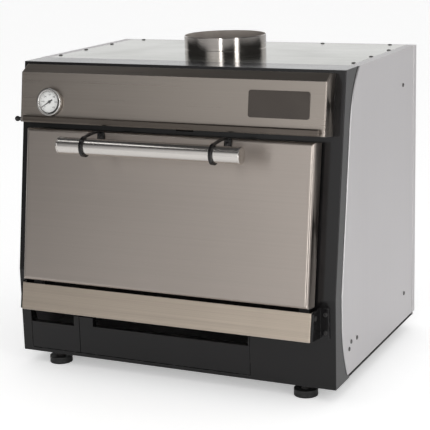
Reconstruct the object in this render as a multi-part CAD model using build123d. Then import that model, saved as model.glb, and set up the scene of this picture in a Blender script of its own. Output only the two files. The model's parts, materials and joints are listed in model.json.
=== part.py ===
from build123d import *
import math
import os

# All lengths are in millimetres. The front of the oven looks along -Y, +X is to the right of
# someone standing before it and +Z is up. The origin lies on the floor under the middle of the
# casing.

# Casing
CASING_WIDTH = 840
CASING_DEPTH = 610
CASING_HEIGHT = 724
BASE_HEIGHT = 212
LEAN_BACK = 81
FLOOR_GAP = 33
SHEET = 2
SKIN = 2.5
FIT = 0.2
RUN = 0.1

# Faces and edges of the casing
HALF = CASING_WIDTH / 2
FRONT = -CASING_DEPTH / 2
BACK = CASING_DEPTH / 2
TOP = FLOOR_GAP + CASING_HEIGHT
KINK = FLOOR_GAP + BASE_HEIGHT
LEAN = math.atan2(LEAN_BACK, TOP - KINK)
LEAN_LENGTH = math.hypot(LEAN_BACK, TOP - KINK)
LEAN_PLANE = Plane(
    origin=(0, FRONT, KINK),
    x_dir=(1, 0, 0),
    z_dir=(0, -math.cos(LEAN), math.sin(LEAN)),
)

# Black front frame: the side flange is narrow in the middle and flares at both ends
FLANGE_MIDDLE = 39
FLANGE_TOP = 82
FLANGE_FOOT = 81
FLARE_TOP = 137
FLARE_FOOT = 150
FLANGE_OVERLAP = 12
TOP_FLANGE = 82
PANEL_LIFT = 12
PANEL_GAP = 1
SEAM_STRIP = 20
SEAM_SHEET = 1.2
TOP_RETURN = 20

# Fascia with its lip, blank plate and thermometer, measured up the leaning front
FASCIA_SIDE_MARGIN = 25
FASCIA_TOP_MARGIN = 7.4
FASCIA_HEIGHT = 141
FASCIA_BROW_HEIGHT = 20
FASCIA_WIDTH = CASING_WIDTH - 2 * FASCIA_SIDE_MARGIN
FASCIA_HEAD = LEAN_LENGTH - FASCIA_TOP_MARGIN
FASCIA_FOOT = FASCIA_HEAD - FASCIA_HEIGHT
FASCIA_SHOULDER = FASCIA_HEAD - FASCIA_BROW_HEIGHT
FASCIA_FACE = 51
FASCIA_BROW = 26
FASCIA_SHEET = 1.5
FASCIA_BEND = 3
LIP_MARGIN = 10
LIP_HEIGHT = 16
LIP_REACH = 12
PLATE_INSET = 112
PLATE_RISE = 67
PLATE_WIDTH = 148
PLATE_HEIGHT = 62
PLATE_CORNER = 6
PLATE_THICK = 1.5
DIAL_INSET = 84
DIAL_RISE = 50.7
DIAL_X = DIAL_INSET - FASCIA_WIDTH / 2
DIAL_S = FASCIA_FOOT + DIAL_RISE
BEZEL_DIAMETER = 68
BEZEL_DEPTH = 10
BEZEL_EDGE = 1.2
DIAL_DIAMETER = 62
DIAL_BED = 1.5
DIAL_THICK = 2.5
GLASS_THICK = 2
GLASS_INSET = 1
PIVOT = 2
STEM_DIAMETER = 8
STEM_LENGTH = 160
NEEDLE_ANGLE = 213
NEEDLE_LIFT = 1
NEEDLE_THICK = 0.8
NEEDLE_HUB = 6
NEEDLE_TIP = 26
NEEDLE_TAIL = 10
PIN_SIDES = 12
RIM_SIDES = 36
RING_SIDES = 48

# Door, in sizes along the leaning front and outwards from it
DOOR_SIDE_MARGIN = 46
DOOR_TOP_GAP = 14
DOOR_WIDTH = CASING_WIDTH - 2 * DOOR_SIDE_MARGIN
DOOR_FOOT = -15.4
DOOR_HEAD = FASCIA_FOOT - DOOR_TOP_GAP
DOOR_FACE = 55
DOOR_BACK = 10
DOOR_BEND = 8
DOOR_SHEET = 2
LINER_SHEET = 4
GASKET_WIDTH = 12
GASKET_GAP = 6
GASKET_MARGIN = 2
GASKET_CORNER = 16
GASKET_INNER_CORNER = 6
PLUG_REACH = 12
PLUG_SIDE_GAP = 8
PLUG_CORNER = 4

# Cooking chamber, set in the casing behind a packed space, and its mouth behind the door
SIDE_PACKING = 90
FLOOR_RISE = 23
ROOF_PACKING = 74
REAR_PACKING = 50
CHAMBER_WIDTH = CASING_WIDTH - 2 * SIDE_PACKING
CHAMBER_FLOOR = KINK + FLOOR_RISE
CHAMBER_ROOF = TOP - ROOF_PACKING
CHAMBER_REAR = BACK - REAR_PACKING
CHAMBER_SET_BACK = 49
WALL = 4
MOUTH_FOOT = 32
MOUTH_TOP_MARGIN = 20
MOUTH_HEAD = DOOR_HEAD - MOUTH_TOP_MARGIN

# Hinge
HINGE_OUT = 40
HINGE_DROP = 31
HINGE_Y = FRONT - HINGE_OUT
HINGE_Z = KINK - HINGE_DROP
HINGE_ROD = 9
EAR_RADIUS = 7.5
EAR_WIDTH = 24
EAR_INSET = 22
EAR_X = DOOR_WIDTH / 2 - EAR_INSET
EAR_REAR = 27
EAR_FRONT = 16
EAR_CORNER = 4
EAR_STEP = 2.5
EAR_PAD = 3
EAR_PAD_SET = 5
BRACKET_PLATE = 5
BRACKET_GAP = 6
BRACKET_X = DOOR_WIDTH / 2 + BRACKET_GAP
BRACKET_FOOT_WIDTH = 26
BRACKET_FOOT_THICK = 4
BRACKET_SCREW_X = 17
PIN_HEAD = 13
PIN_HEAD_THICK = 3.2

# Drip skirt
SKIRT_DROP = 18
SKIRT_HEIGHT = 65
SKIRT_TOP_Z = KINK - SKIRT_DROP
SKIRT_FOOT_Z = SKIRT_TOP_Z - SKIRT_HEIGHT
SKIRT_TOP_OUT = 48
SKIRT_FOOT_OUT = 60
SKIRT_SHEET = 1.5
SKIRT_RETURN = 15

# Handle
HANDLE_DIAMETER = 39
HANDLE_WALL = 2
HANDLE_LENGTH = 466
HANDLE_DROP = 34
HANDLE_S = DOOR_HEAD - HANDLE_DROP
HANDLE_OUT = 131
CAP_THICK = 3
CAP_RIM = 0.8
CAP_EDGE = 1
CAP_SPIGOT = 8
STRAP_INSET = 68
STRAP_X = HANDLE_LENGTH / 2 - STRAP_INSET
STRAP_WIDTH = 7
STRAP_THICK = 5
STRAP_RISE = 35
STRAP_REACH = 30
STRAP_DROP = 5
STRAP_KNEE = 19
STRAP_BACK = 16
STRAP_FOOT_WIDTH = 18
STRAP_FOOT_HEIGHT = 30
STRAP_FOOT_THICK = 4
STRAP_CORNER = 4
STRAP_BOLT = 14
STRAP_BOLT_HEIGHT = 6

# Flue
FLUE_FROM_BACK = 250
FLUE_Y = BACK - FLUE_FROM_BACK
FLUE_OUTSIDE = 206.5
FLUE_BORE = 201.5
THROAT_BORE = 194
FLUE_HEIGHT = 45.5
FLUE_FLANGE = 236
FLUE_SINK = 12

# Ash drawer, draught panel and the opening they share
DRAUGHT_SIDE_MARGIN = 28
DRAUGHT_WIDTH = 137.5
DRAWER_WIDTH = 459
HATCH_GAP = 1.5
HATCH_HEADROOM = 15
DRAUGHT_LEFT = DRAUGHT_SIDE_MARGIN - HALF
DRAUGHT_RIGHT = DRAUGHT_LEFT + DRAUGHT_WIDTH
DRAWER_LEFT = DRAUGHT_RIGHT + HATCH_GAP
DRAWER_RIGHT = DRAWER_LEFT + DRAWER_WIDTH
DRAWER_RISE = 10
DRAWER_HEIGHT = 94
DRAWER_FOOT = FLOOR_GAP + DRAWER_RISE
DRAWER_HEAD = DRAWER_FOOT + DRAWER_HEIGHT
HATCH_HEAD = DRAWER_HEAD + HATCH_HEADROOM
DRAWER_NOTCH_DEPTH = 22
DRAWER_NOTCH_LEFT = 38
DRAWER_NOTCH_RIGHT = 4
DRAUGHT_NOTCH_DEPTH = 26
DRAUGHT_POST = 15
DRAWER_FRONT = 16
DRAWER_EDGE = 0.8
DRAUGHT_DEPTH = 160
DRAUGHT_WALL = 41
TRAY_MARGIN = 22
TRAY_DEPTH = 400
TRAY_SHEET = 1.5
TRAY_WALL = 61
TRAY_FOOT = DRAWER_FOOT + 2 * SHEET
TRAY_HEAD = TRAY_FOOT + TRAY_WALL
RUNNER_WIDTH = 14
RUNNER_INSET = 4

# Chute, grate, rails and cooking grid
CHUTE_WIDTH = 288
CHUTE_DEPTH = 248
CHUTE_GAP = 16
CHUTE_FOOT = TRAY_HEAD + CHUTE_GAP
CHUTE_LEDGE = 8
GRATE_MARGIN = 14
GRATE_THICK = 14
GRATE_CORNER = 10
GRATE_SLOT = 10
GRATE_PITCH = 24
RAIL_COUNT = 2
RAIL_FIRST = 150
RAIL_STEP = 80
RAIL_REACH = 16
RAIL_THICK = 4
RAIL_DEPTH = 20
GRID_FRONT_GAP = 43
GRID_REAR_GAP = 10
GRID_SIDE_GAP = 3
GRID_BAR_WIDTH = 5
GRID_BAR_HEIGHT = 10
GRID_BAR_PITCH = 20
GRID_FRAME = 8

# Smoke damper pulled by a ball knob at the left side
DAMPER_RISE = 5
DAMPER_S = FASCIA_FOOT + DAMPER_RISE
DAMPER_O = -20
DAMPER_ROD = 8
DAMPER_BALL = 14
DAMPER_BALL_GAP = 29.4
DAMPER_BALL_X = -HALF - DAMPER_BALL_GAP
DAMPER_SOCKET = 2.5
DAMPER_TRAVEL = 60
BALL_SIDES = 16
BALL_RINGS = 4
BLADE_LEFT = -150
BLADE_RIGHT = 50
BLADE_HEIGHT = 36
BLADE_THICK = 3
PORT_WIDTH = 46
PORT_HEIGHT = 20
PORT_LEDGE = 4
LUG_LENGTH = 16
LUG_HALF = 8
LUG_GRIP = 14

# Feet
FOOT_SIDE_INSET = 87
FOOT_END_INSET = 35
FOOT_X = HALF - FOOT_SIDE_INSET
FOOT_Y = BACK - FOOT_END_INSET
FOOT_PAD = 64
FOOT_PAD_HEIGHT = 13
FOOT_RIM = 5
FOOT_TAPER = 42
FOOT_SIDES = 16
FOOT_COLLAR = 26
STUD = 12
STUD_CLEAR = 1.5

# Screws: side screws lie (from the back, above the base), top rows lie behind each other
SCREW_HEAD = 11
SCREW_HEIGHT = 2.6
SCREW_SIDES = 8
SCREW_TAPER = 32
SIDE_SCREW_BACK = 110
SIDE_SCREW_TOP = 89
SIDE_SCREWS_LOW = ((93, 86), (470, 84), (511, 87), (525, 73))
TOP_SCREW_INSET = 27
TOP_SCREW_ROWS = (135, 274, 402)
BACK_SCREW_INSET = 15
BACK_SCREW_X = (174, 358)


def box_between(low, high):
    size = [b - a for a, b in zip(low, high)]
    middle = [(a + b) / 2 for a, b in zip(low, high)]
    return Pos(*middle) * Box(*size)


def on_lean(shape):
    # Takes a shape drawn as (x, along the lean, outwards) to its place on the front
    return LEAN_PLANE * shape


def lean_point(along, out):
    y = FRONT + along * math.sin(LEAN) - out * math.cos(LEAN)
    z = KINK + along * math.cos(LEAN) + out * math.sin(LEAN)
    return y, z


def to_lean(y, z):
    along = (y - FRONT) * math.sin(LEAN) + (z - KINK) * math.cos(LEAN)
    out = (z - KINK) * math.sin(LEAN) - (y - FRONT) * math.cos(LEAN)
    return along, out


def lean_y(z, out):
    along = (z - KINK - out * math.sin(LEAN)) / math.cos(LEAN)
    return lean_point(along, out)[0]


def side_slab(face_lines, x_low, x_high):
    # A slab cut from an outline in the Y-Z plane, between two values of X
    sketch = make_face(Plane.YZ * face_lines)
    slab = extrude(sketch, amount=x_high - x_low, dir=(1, 0, 0))
    return Pos(x_low, 0, 0) * slab


def side_slab_points(points, x_low, x_high):
    outline = Polyline(*points, close=True)
    return side_slab(outline, x_low, x_high)


def lean_slab(points, x_low, x_high):
    # A slab cut from an outline given as (along the lean, outwards)
    outline = [lean_point(along, out) for along, out in points]
    return side_slab_points(outline, x_low, x_high)


def lean_rod(x, along, out, length, radius):
    # A rod along X that starts at x
    y, z = lean_point(along, out)
    rod = Rot(0, 90, 0) * Cylinder(radius, length)
    return Pos(x + length / 2, y, z) * rod


def both_sides(shape):
    return [shape, mirror(shape, about=Plane.YZ)]


def screw_head(diameter, height):
    # A low head with a tapered rim that stands on the plane Z = 0
    return extrude(RegularPolygon(diameter / 2, SCREW_SIDES), amount=height, taper=SCREW_TAPER)


def covered_disc(radius, thick):
    # A disc with many flats, for a rim that another piece covers
    return extrude(RegularPolygon(radius, RIM_SIDES), amount=thick)


# Casing parts


def flange_edge(shift):
    # The rear edge of the side flange, from the top down to the foot, moved back by shift
    top = (FRONT + LEAN_BACK + FLANGE_TOP + shift, TOP)
    upper_z = TOP - FLARE_TOP
    upper = (lean_y(upper_z, 0) + FLANGE_MIDDLE + shift, upper_z)
    kink = (FRONT + FLANGE_MIDDLE + shift, KINK)
    lower = (FRONT + FLANGE_MIDDLE + shift, FLOOR_GAP + FLARE_FOOT)
    foot = (FRONT + FLANGE_FOOT + shift, FLOOR_GAP)
    down_lean = (-math.sin(LEAN), -math.cos(LEAN))
    upper_curve = Spline(top, upper, tangents=[(-1.1, -1), down_lean], tangent_scalars=[0.9, 1.3])
    lower_curve = Spline(lower, foot, tangents=[(0, -1), (0.55, -1)], tangent_scalars=[1.2, 0.7])
    return upper_curve + Line(upper, kink) + Line(kink, lower) + lower_curve


def flange_side():
    shift = FLANGE_OVERLAP
    edge = flange_edge(shift)
    top_back = (FRONT + LEAN_BACK + FLANGE_TOP + shift, TOP)
    foot_back = (FRONT + FLANGE_FOOT + shift, FLOOR_GAP)
    front = Polyline(foot_back, (FRONT, FLOOR_GAP), (FRONT, KINK), (FRONT + LEAN_BACK, TOP), top_back)
    slab = side_slab(edge + front, HALF - SHEET, HALF)
    shelf_end = FRONT + LEAN_BACK + TOP_FLANGE
    return slab - box_between((0, shelf_end, TOP - SHEET * 2), (CASING_WIDTH, 0, TOP + 1))


def is_front_fold(edge):
    # True for the long edges where the front face turns into a side flange
    spot = edge.center()
    if abs(abs(spot.X) - HALF) > 0.01 or edge.length < BASE_HEIGHT - 1:
        return False
    return abs(spot.Y - FRONT) < 0.01 or abs(to_lean(spot.Y, spot.Z)[1]) < 0.01


def front_frame():
    face = side_slab_points(
        [
            (FRONT, FLOOR_GAP),
            (FRONT, KINK),
            (FRONT + LEAN_BACK, TOP),
            (lean_y(TOP, -SHEET), TOP),
            (FRONT + SHEET, KINK - SHEET * math.tan(LEAN / 2)),
            (FRONT + SHEET, FLOOR_GAP),
        ],
        -HALF,
        HALF,
    )
    shelf = box_between(
        (-HALF, FRONT + LEAN_BACK, TOP - SHEET), (HALF, FRONT + LEAN_BACK + TOP_FLANGE, TOP)
    )
    side = flange_side()
    frame = face + shelf + side + mirror(side, about=Plane.YZ)
    frame = fillet(frame.edges().filter_by(is_front_fold), SHEET * 0.9)
    mouth = on_lean(
        box_between(
            (-CHAMBER_WIDTH / 2 - WALL - FIT, MOUTH_FOOT - WALL - FIT, -SHEET * 3),
            (CHAMBER_WIDTH / 2 + WALL + FIT, MOUTH_HEAD + WALL + FIT, SHEET * 3),
        )
    )
    hatch = box_between(
        (DRAUGHT_LEFT - HATCH_GAP, FRONT - SHEET, DRAWER_FOOT - HATCH_GAP),
        (DRAWER_RIGHT + HATCH_GAP, FRONT + SHEET * 2, HATCH_HEAD),
    )
    stem = on_lean(Pos(DIAL_X, DIAL_S, 0) * Cylinder(STEM_DIAMETER / 2 + FIT, SHEET * 6))
    port = on_lean(
        box_between(
            (BLADE_RIGHT - PORT_WIDTH, DAMPER_S - PORT_HEIGHT / 2, -SHEET * 3),
            (BLADE_RIGHT, DAMPER_S + PORT_HEIGHT / 2, SHEET * 3),
        )
    )
    rod = lean_rod(-HALF - SHEET, DAMPER_S, DAMPER_O, SHEET * 3, DAMPER_ROD / 2 + RUN * 3)
    return frame - mouth - hatch - stem - port - rod


def side_panel():
    edge = flange_edge(PANEL_GAP)
    foot_z = FLOOR_GAP + PANEL_LIFT
    top_y = FRONT + LEAN_BACK + FLANGE_TOP + PANEL_GAP
    foot_y = FRONT + FLANGE_FOOT + PANEL_GAP
    back = Polyline((foot_y, FLOOR_GAP), (BACK, FLOOR_GAP), (BACK, TOP), (top_y, TOP))
    sheet = side_slab(edge + back, HALF, HALF + SKIN)
    sheet = sheet - box_between((0, FRONT, 0), (HALF * 2, BACK + 1, foot_z))
    front_edges = sheet.faces().sort_by(Axis.X)[-1].edges().filter_by(
        lambda e: e.center().Y < FRONT + FLANGE_TOP + LEAN_BACK and e.center().Z > foot_z + 1
    )
    sheet = chamfer(front_edges, SKIN * 0.6)
    fold = box_between((HALF - TOP_RETURN, top_y, TOP - SHEET / 2), (HALF, BACK, TOP))
    return sheet + fold


def side_panel_left():
    panel = mirror(side_panel(), about=Plane.YZ)
    return panel


def top_panel():
    top_y = FRONT + LEAN_BACK + TOP_FLANGE + PANEL_GAP
    plate = box_between((-HALF, top_y, TOP - SHEET * 1.5), (HALF, BACK - SHEET, TOP - SHEET / 2))
    centre = box_between(
        (-HALF + TOP_RETURN + PANEL_GAP, top_y, TOP - SHEET),
        (HALF - TOP_RETURN - PANEL_GAP, BACK - SHEET, TOP),
    )
    hole = Pos(0, FLUE_Y, TOP) * Cylinder(FLUE_OUTSIDE / 2 + FIT, SHEET * 6)
    return plate + centre - hole


def back_panel():
    plate = box_between((-HALF, BACK - SHEET, FLOOR_GAP), (HALF, BACK, TOP - SHEET * 1.5))
    strip = box_between(
        (HALF + SKIN, BACK - SEAM_STRIP, FLOOR_GAP + PANEL_LIFT),
        (HALF + SKIN + SEAM_SHEET, BACK + SEAM_SHEET, TOP),
    )
    cover = box_between(
        (-HALF - SKIN - SEAM_SHEET, BACK, FLOOR_GAP + PANEL_LIFT),
        (HALF + SKIN + SEAM_SHEET, BACK + SEAM_SHEET, TOP),
    )
    return plate + cover + strip + mirror(strip, about=Plane.YZ)


def foot_spots():
    return [(x, y) for x in (-FOOT_X, FOOT_X) for y in (-FOOT_Y, FOOT_Y)]


def bottom_pan():
    plate = box_between(
        (-HALF + SHEET, FRONT + SHEET, FLOOR_GAP), (HALF - SHEET, BACK - SHEET, FLOOR_GAP + SHEET)
    )
    hole = extrude(RegularPolygon(STUD / 2 + FIT, SCREW_SIDES), amount=SHEET * 2, both=True)
    return plate - [Pos(x, y, FLOOR_GAP) * hole for x, y in foot_spots()]


def foot_pads():
    face = RegularPolygon(FOOT_PAD / 2, FOOT_SIDES)
    rim = extrude(face, amount=FOOT_RIM)
    crown = Pos(0, 0, FOOT_RIM) * extrude(face, amount=FOOT_PAD_HEIGHT - FOOT_RIM, taper=FOOT_TAPER)
    return Compound([Pos(x, y, 0) * (rim + crown) for x, y in foot_spots()])


def foot_studs():
    collar = extrude(RegularPolygon(FOOT_COLLAR / 2, 6), amount=FLOOR_GAP - FOOT_PAD_HEIGHT)
    reach = TRAY_FOOT - STUD_CLEAR - FOOT_PAD_HEIGHT
    rod = extrude(RegularPolygon(STUD / 2, SCREW_SIDES), amount=reach)
    return Compound([Pos(x, y, FOOT_PAD_HEIGHT) * (collar + rod) for x, y in foot_spots()])


# Front trim


def fascia_outline(inset):
    return [
        (FASCIA_FOOT + inset, 0 if inset == 0 else -1),
        (FASCIA_FOOT + inset, FASCIA_FACE - inset),
        (FASCIA_SHOULDER - inset / 2, FASCIA_FACE - inset),
        (FASCIA_HEAD - inset, FASCIA_BROW - inset / 2),
        (FASCIA_HEAD - inset, 0 if inset == 0 else -1),
    ]


def is_fascia_end(edge):
    # True for the edges round the two ends of the fascia's front and brow
    spot = edge.center()
    along, out = to_lean(spot.Y, spot.Z)
    at_end = abs(abs(spot.X) - FASCIA_WIDTH / 2) < 0.01
    return at_end and out > FASCIA_BROW + 1 and along > FASCIA_FOOT + 1


def fascia_panel():
    half = FASCIA_WIDTH / 2
    shell = lean_slab(fascia_outline(0), -half, half)
    shell = fillet(shell.edges().filter_by(is_fascia_end), FASCIA_BEND)
    hollow = lean_slab(fascia_outline(FASCIA_SHEET), -half + FASCIA_BEND, half - FASCIA_BEND)
    stem = Pos(DIAL_X, DIAL_S, FASCIA_FACE) * Cylinder(STEM_DIAMETER / 2 + FIT, FASCIA_SHEET * 4)
    return shell - hollow - on_lean(stem)


def fascia_lip():
    size = (FASCIA_WIDTH - 2 * LIP_MARGIN, LIP_HEIGHT, LIP_REACH)
    bar = Box(*size, align=(Align.CENTER, Align.MIN, Align.MIN))
    bar = fillet(bar.edges().filter_by(Axis.Z), LIP_HEIGHT * 0.35)
    bar = chamfer(bar.faces().sort_by(Axis.Z)[-1].edges(), LIP_REACH * 0.25)
    return on_lean(Pos(0, FASCIA_FOOT, FASCIA_FACE) * bar)


def blank_plate():
    face = RectangleRounded(PLATE_WIDTH, PLATE_HEIGHT, PLATE_CORNER)
    place = Pos(FASCIA_WIDTH / 2 - PLATE_INSET, FASCIA_FOOT + PLATE_RISE, FASCIA_FACE)
    return on_lean(place * extrude(face, amount=PLATE_THICK))


def at_dial(shape):
    return on_lean(Pos(DIAL_X, DIAL_S, FASCIA_FACE) * shape)


def thermometer_bezel():
    # A cup with a bevelled rim that holds the dial and the glass
    face = RegularPolygon(BEZEL_DIAMETER / 2, RING_SIDES)
    cup = extrude(face, amount=BEZEL_DEPTH - BEZEL_EDGE)
    bevel = Pos(0, 0, BEZEL_DEPTH - BEZEL_EDGE) * extrude(face, amount=BEZEL_EDGE, taper=45)
    well = RegularPolygon(DIAL_DIAMETER / 2 + FIT, RING_SIDES, major_radius=False)
    well = Pos(0, 0, DIAL_BED) * extrude(well, amount=BEZEL_DEPTH)
    return at_dial(cup + bevel - well - Cylinder(STEM_DIAMETER / 2 + FIT, BEZEL_DEPTH * 2))


def dial_top():
    return DIAL_BED + DIAL_THICK


def glass_foot():
    return BEZEL_DEPTH - GLASS_INSET - GLASS_THICK


def thermometer_dial():
    disc = Pos(0, 0, DIAL_BED) * covered_disc(DIAL_DIAMETER / 2, DIAL_THICK)
    return at_dial(disc - Cylinder(STEM_DIAMETER / 2 + FIT, BEZEL_DEPTH * 2))


def thermometer_glass():
    return at_dial(Pos(0, 0, glass_foot()) * covered_disc(DIAL_DIAMETER / 2, GLASS_THICK))


def thermometer_stem():
    rod = Pos(0, 0, dial_top() - STEM_LENGTH / 2) * Cylinder(STEM_DIAMETER / 2, STEM_LENGTH)
    reach = glass_foot() - dial_top()
    pivot = Pos(0, 0, dial_top()) * extrude(RegularPolygon(PIVOT / 2, PIN_SIDES), amount=reach)
    return at_dial(rod + pivot)


def thermometer_needle():
    outline = Polyline(
        (-NEEDLE_TAIL, -NEEDLE_THICK * 2),
        (-NEEDLE_TAIL, NEEDLE_THICK * 2),
        (NEEDLE_TIP, NEEDLE_THICK / 2),
        (NEEDLE_TIP, -NEEDLE_THICK / 2),
        close=True,
    )
    blade = extrude(make_face(outline), amount=NEEDLE_THICK)
    hub = extrude(RegularPolygon(NEEDLE_HUB / 2, PIN_SIDES), amount=NEEDLE_THICK * 1.5)
    bore = RegularPolygon(PIVOT / 2 + RUN, PIN_SIDES, major_radius=False)
    needle = blade + hub - extrude(bore, amount=BEZEL_DEPTH, both=True)
    return at_dial(Pos(0, 0, dial_top() + NEEDLE_LIFT) * Rot(0, 0, NEEDLE_ANGLE) * needle)


# Flue


def flue_collar():
    # A tube with a flange that lies under the top panel
    height = FLUE_HEIGHT + FLUE_SINK
    tube = Pos(0, 0, height / 2 - FLUE_SINK) * Cylinder(FLUE_OUTSIDE / 2, height)
    flange = Pos(0, 0, -SHEET * 2.5) * covered_disc(FLUE_FLANGE / 2, SHEET)
    return Pos(0, FLUE_Y, TOP) * (tube + flange - Cylinder(FLUE_BORE / 2, height * 2))


def flue_throat():
    low = CHAMBER_ROOF + WALL
    outer = RegularPolygon(FLUE_OUTSIDE / 2, RING_SIDES)
    bore = RegularPolygon(THROAT_BORE / 2, RING_SIDES, major_radius=False)
    return Pos(0, FLUE_Y, low) * extrude(outer - bore, amount=TOP - FLUE_SINK - low)


# Chamber


def chamber_outline(grow):
    floor = CHAMBER_FLOOR - grow
    roof = CHAMBER_ROOF + grow
    front = grow - CHAMBER_SET_BACK
    rear = CHAMBER_REAR + grow
    return [(lean_y(floor, front), floor), (lean_y(roof, front), roof), (rear, roof), (rear, floor)]


def mouth_box(grow, deep, out):
    half = CHAMBER_WIDTH / 2 + grow
    return on_lean(
        box_between((-half, MOUTH_FOOT - grow, -deep), (half, MOUTH_HEAD + grow, out))
    )


def chamber_block(grow):
    half = CHAMBER_WIDTH / 2 + grow
    return side_slab_points(chamber_outline(grow), -half, half)


def chute_block(grow, low, high):
    half_x = CHUTE_WIDTH / 2 + grow
    half_y = CHUTE_DEPTH / 2 + grow
    return box_between((-half_x, -half_y, low), (half_x, half_y, high))


def port_box(near, far):
    return on_lean(
        box_between(
            (BLADE_RIGHT - PORT_WIDTH, DAMPER_S - PORT_HEIGHT / 2, far),
            (BLADE_RIGHT - PORT_LEDGE, DAMPER_S + PORT_HEIGHT / 2, near),
        )
    )


def stem_hole():
    return at_dial(Pos(0, 0, -STEM_LENGTH / 2) * Cylinder(STEM_DIAMETER / 2 + FIT, STEM_LENGTH * 1.2))


def chamber_part(low, high):
    # The part of the chamber's walls that lies between two corners
    return (chamber_block(WALL) - chamber_block(0)) & box_between(low, high)


def chamber_floor():
    half = CHAMBER_WIDTH / 2 + WALL
    plate = chamber_part((-half, FRONT, CHAMBER_FLOOR - WALL), (half, BACK, CHAMBER_FLOOR))
    return plate - chute_block(-CHUTE_LEDGE, CHAMBER_FLOOR - WALL * 2, CHAMBER_FLOOR + 1)


def chamber_roof():
    half = CHAMBER_WIDTH / 2 + WALL
    plate = chamber_part((-half, FRONT, CHAMBER_ROOF), (half, BACK, CHAMBER_ROOF + WALL))
    return plate - Pos(0, FLUE_Y, CHAMBER_ROOF) * Cylinder(THROAT_BORE / 2, WALL * 6)


def chamber_rear():
    half = CHAMBER_WIDTH / 2
    return chamber_part((-half, CHAMBER_REAR, CHAMBER_FLOOR), (half, BACK, CHAMBER_ROOF))


def chamber_side():
    half = CHAMBER_WIDTH / 2
    return chamber_part((half, FRONT, CHAMBER_FLOOR), (half + WALL, BACK, CHAMBER_ROOF))


def mouth_frame():
    half = CHAMBER_WIDTH / 2
    wall = chamber_part((-half, FRONT, CHAMBER_FLOOR), (half, 0, CHAMBER_ROOF))
    tunnel = mouth_box(WALL, CHAMBER_SET_BACK - WALL, 0)
    frame = wall + tunnel - mouth_box(0, CHAMBER_SET_BACK + WALL * 2, 1)
    port = port_box(WALL * 3 - CHAMBER_SET_BACK, -CHAMBER_SET_BACK - WALL * 3)
    return frame - port - stem_hole()


def damper_pocket():
    # The space that the blade slides in, with the channel for its rod
    side = DAMPER_ROD / 2 + FIT
    half = BLADE_HEIGHT / 2 + SHEET
    pocket = box_between(
        (BLADE_LEFT - DAMPER_TRAVEL - WALL, DAMPER_S - half, WALL - CHAMBER_SET_BACK),
        (BLADE_RIGHT + WALL, DAMPER_S + half, SHEET),
    )
    channel = box_between(
        (-HALF, DAMPER_S - side, DAMPER_O - side), (BLADE_LEFT, DAMPER_S + side, DAMPER_O + side)
    )
    return on_lean(pocket + channel)


def insulation():
    inside = SHEET + FIT
    floor = CHAMBER_FLOOR - WALL * 10
    roof = TOP - SHEET * 3 - FLUE_SINK / 2
    points = [
        (FRONT + inside, floor),
        (FRONT + inside, KINK),
        (lean_y(roof, -inside), roof),
        (BACK - inside, roof),
        (BACK - inside, floor),
    ]
    half = HALF - SHEET - FIT
    block = side_slab_points(points, -half, half)
    block = block - chamber_block(WALL) - mouth_box(WALL + FIT, CHAMBER_SET_BACK, WALL)
    block = block - chute_block(FIT, floor - WALL, CHAMBER_FLOOR)
    block = block - Pos(0, FLUE_Y, CHAMBER_ROOF) * Cylinder(FLUE_OUTSIDE / 2 + FIT, ROOF_PACKING * 2)
    side = STEM_DIAMETER + FIT * 2
    stem = at_dial(Pos(0, 0, -STEM_LENGTH / 2) * Box(side, side, STEM_LENGTH * 1.2))
    return block - damper_pocket() - stem


def ash_chute():
    block = chute_block(0, CHUTE_FOOT, CHAMBER_FLOOR - WALL)
    return block - chute_block(-SHEET, CHUTE_FOOT - 1, CHAMBER_FLOOR)


def charcoal_grate():
    half_x = CHUTE_WIDTH / 2 + GRATE_MARGIN
    half_y = CHUTE_DEPTH / 2 + GRATE_MARGIN
    plate = box_between(
        (-half_x, -half_y, CHAMBER_FLOOR), (half_x, half_y, CHAMBER_FLOOR + GRATE_THICK)
    )
    plate = fillet(plate.edges().filter_by(Axis.Z), GRATE_CORNER)
    count = int((CHUTE_WIDTH - 2 * GRATE_MARGIN) / GRATE_PITCH) + 1
    slot = Pos(0, 0, CHAMBER_FLOOR) * Box(GRATE_SLOT, CHUTE_DEPTH - 2 * GRATE_MARGIN, GRATE_THICK * 4)
    slots = [Pos((i - (count - 1) / 2) * GRATE_PITCH, 0, 0) * slot for i in range(count)]
    return plate - slots


def rail_level(index):
    return CHAMBER_FLOOR + RAIL_FIRST + index * RAIL_STEP


def grid_front():
    # The grid and its rails start a set distance behind the chamber's front wall
    return lean_y(rail_level(0), -CHAMBER_SET_BACK) + GRID_FRONT_GAP


def grid_rails():
    rails = []
    half = CHAMBER_WIDTH / 2
    for index in range(RAIL_COUNT):
        top = rail_level(index) - FIT
        corner = (half, CHAMBER_REAR, top)
        leg = box_between((half - RAIL_REACH, grid_front(), top - RAIL_THICK), corner)
        web = box_between((half - RAIL_THICK, grid_front(), top - RAIL_DEPTH), corner)
        rails += both_sides(leg + web)
    return Compound(rails)


def cooking_grid():
    half = CHAMBER_WIDTH / 2 - GRID_SIDE_GAP
    front = grid_front()
    rear = CHAMBER_REAR - GRID_REAR_GAP
    low = rail_level(0)
    high = low + GRID_BAR_HEIGHT
    inner_half = half - GRID_FRAME
    inner_front = front + GRID_FRAME
    inner_rear = rear - GRID_FRAME
    frame = box_between((-half, front, low), (half, rear, high))
    frame = frame - box_between((-inner_half, inner_front, low - 1), (inner_half, inner_rear, high + 1))
    count = int(2 * inner_half / GRID_BAR_PITCH)
    bar = box_between((-GRID_BAR_WIDTH / 2, inner_front, low), (GRID_BAR_WIDTH / 2, inner_rear, high))
    bars = [Pos((i - (count - 1) / 2) * GRID_BAR_PITCH, 0, 0) * bar for i in range(count)]
    return frame + bars


# Hinge and skirt


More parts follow.
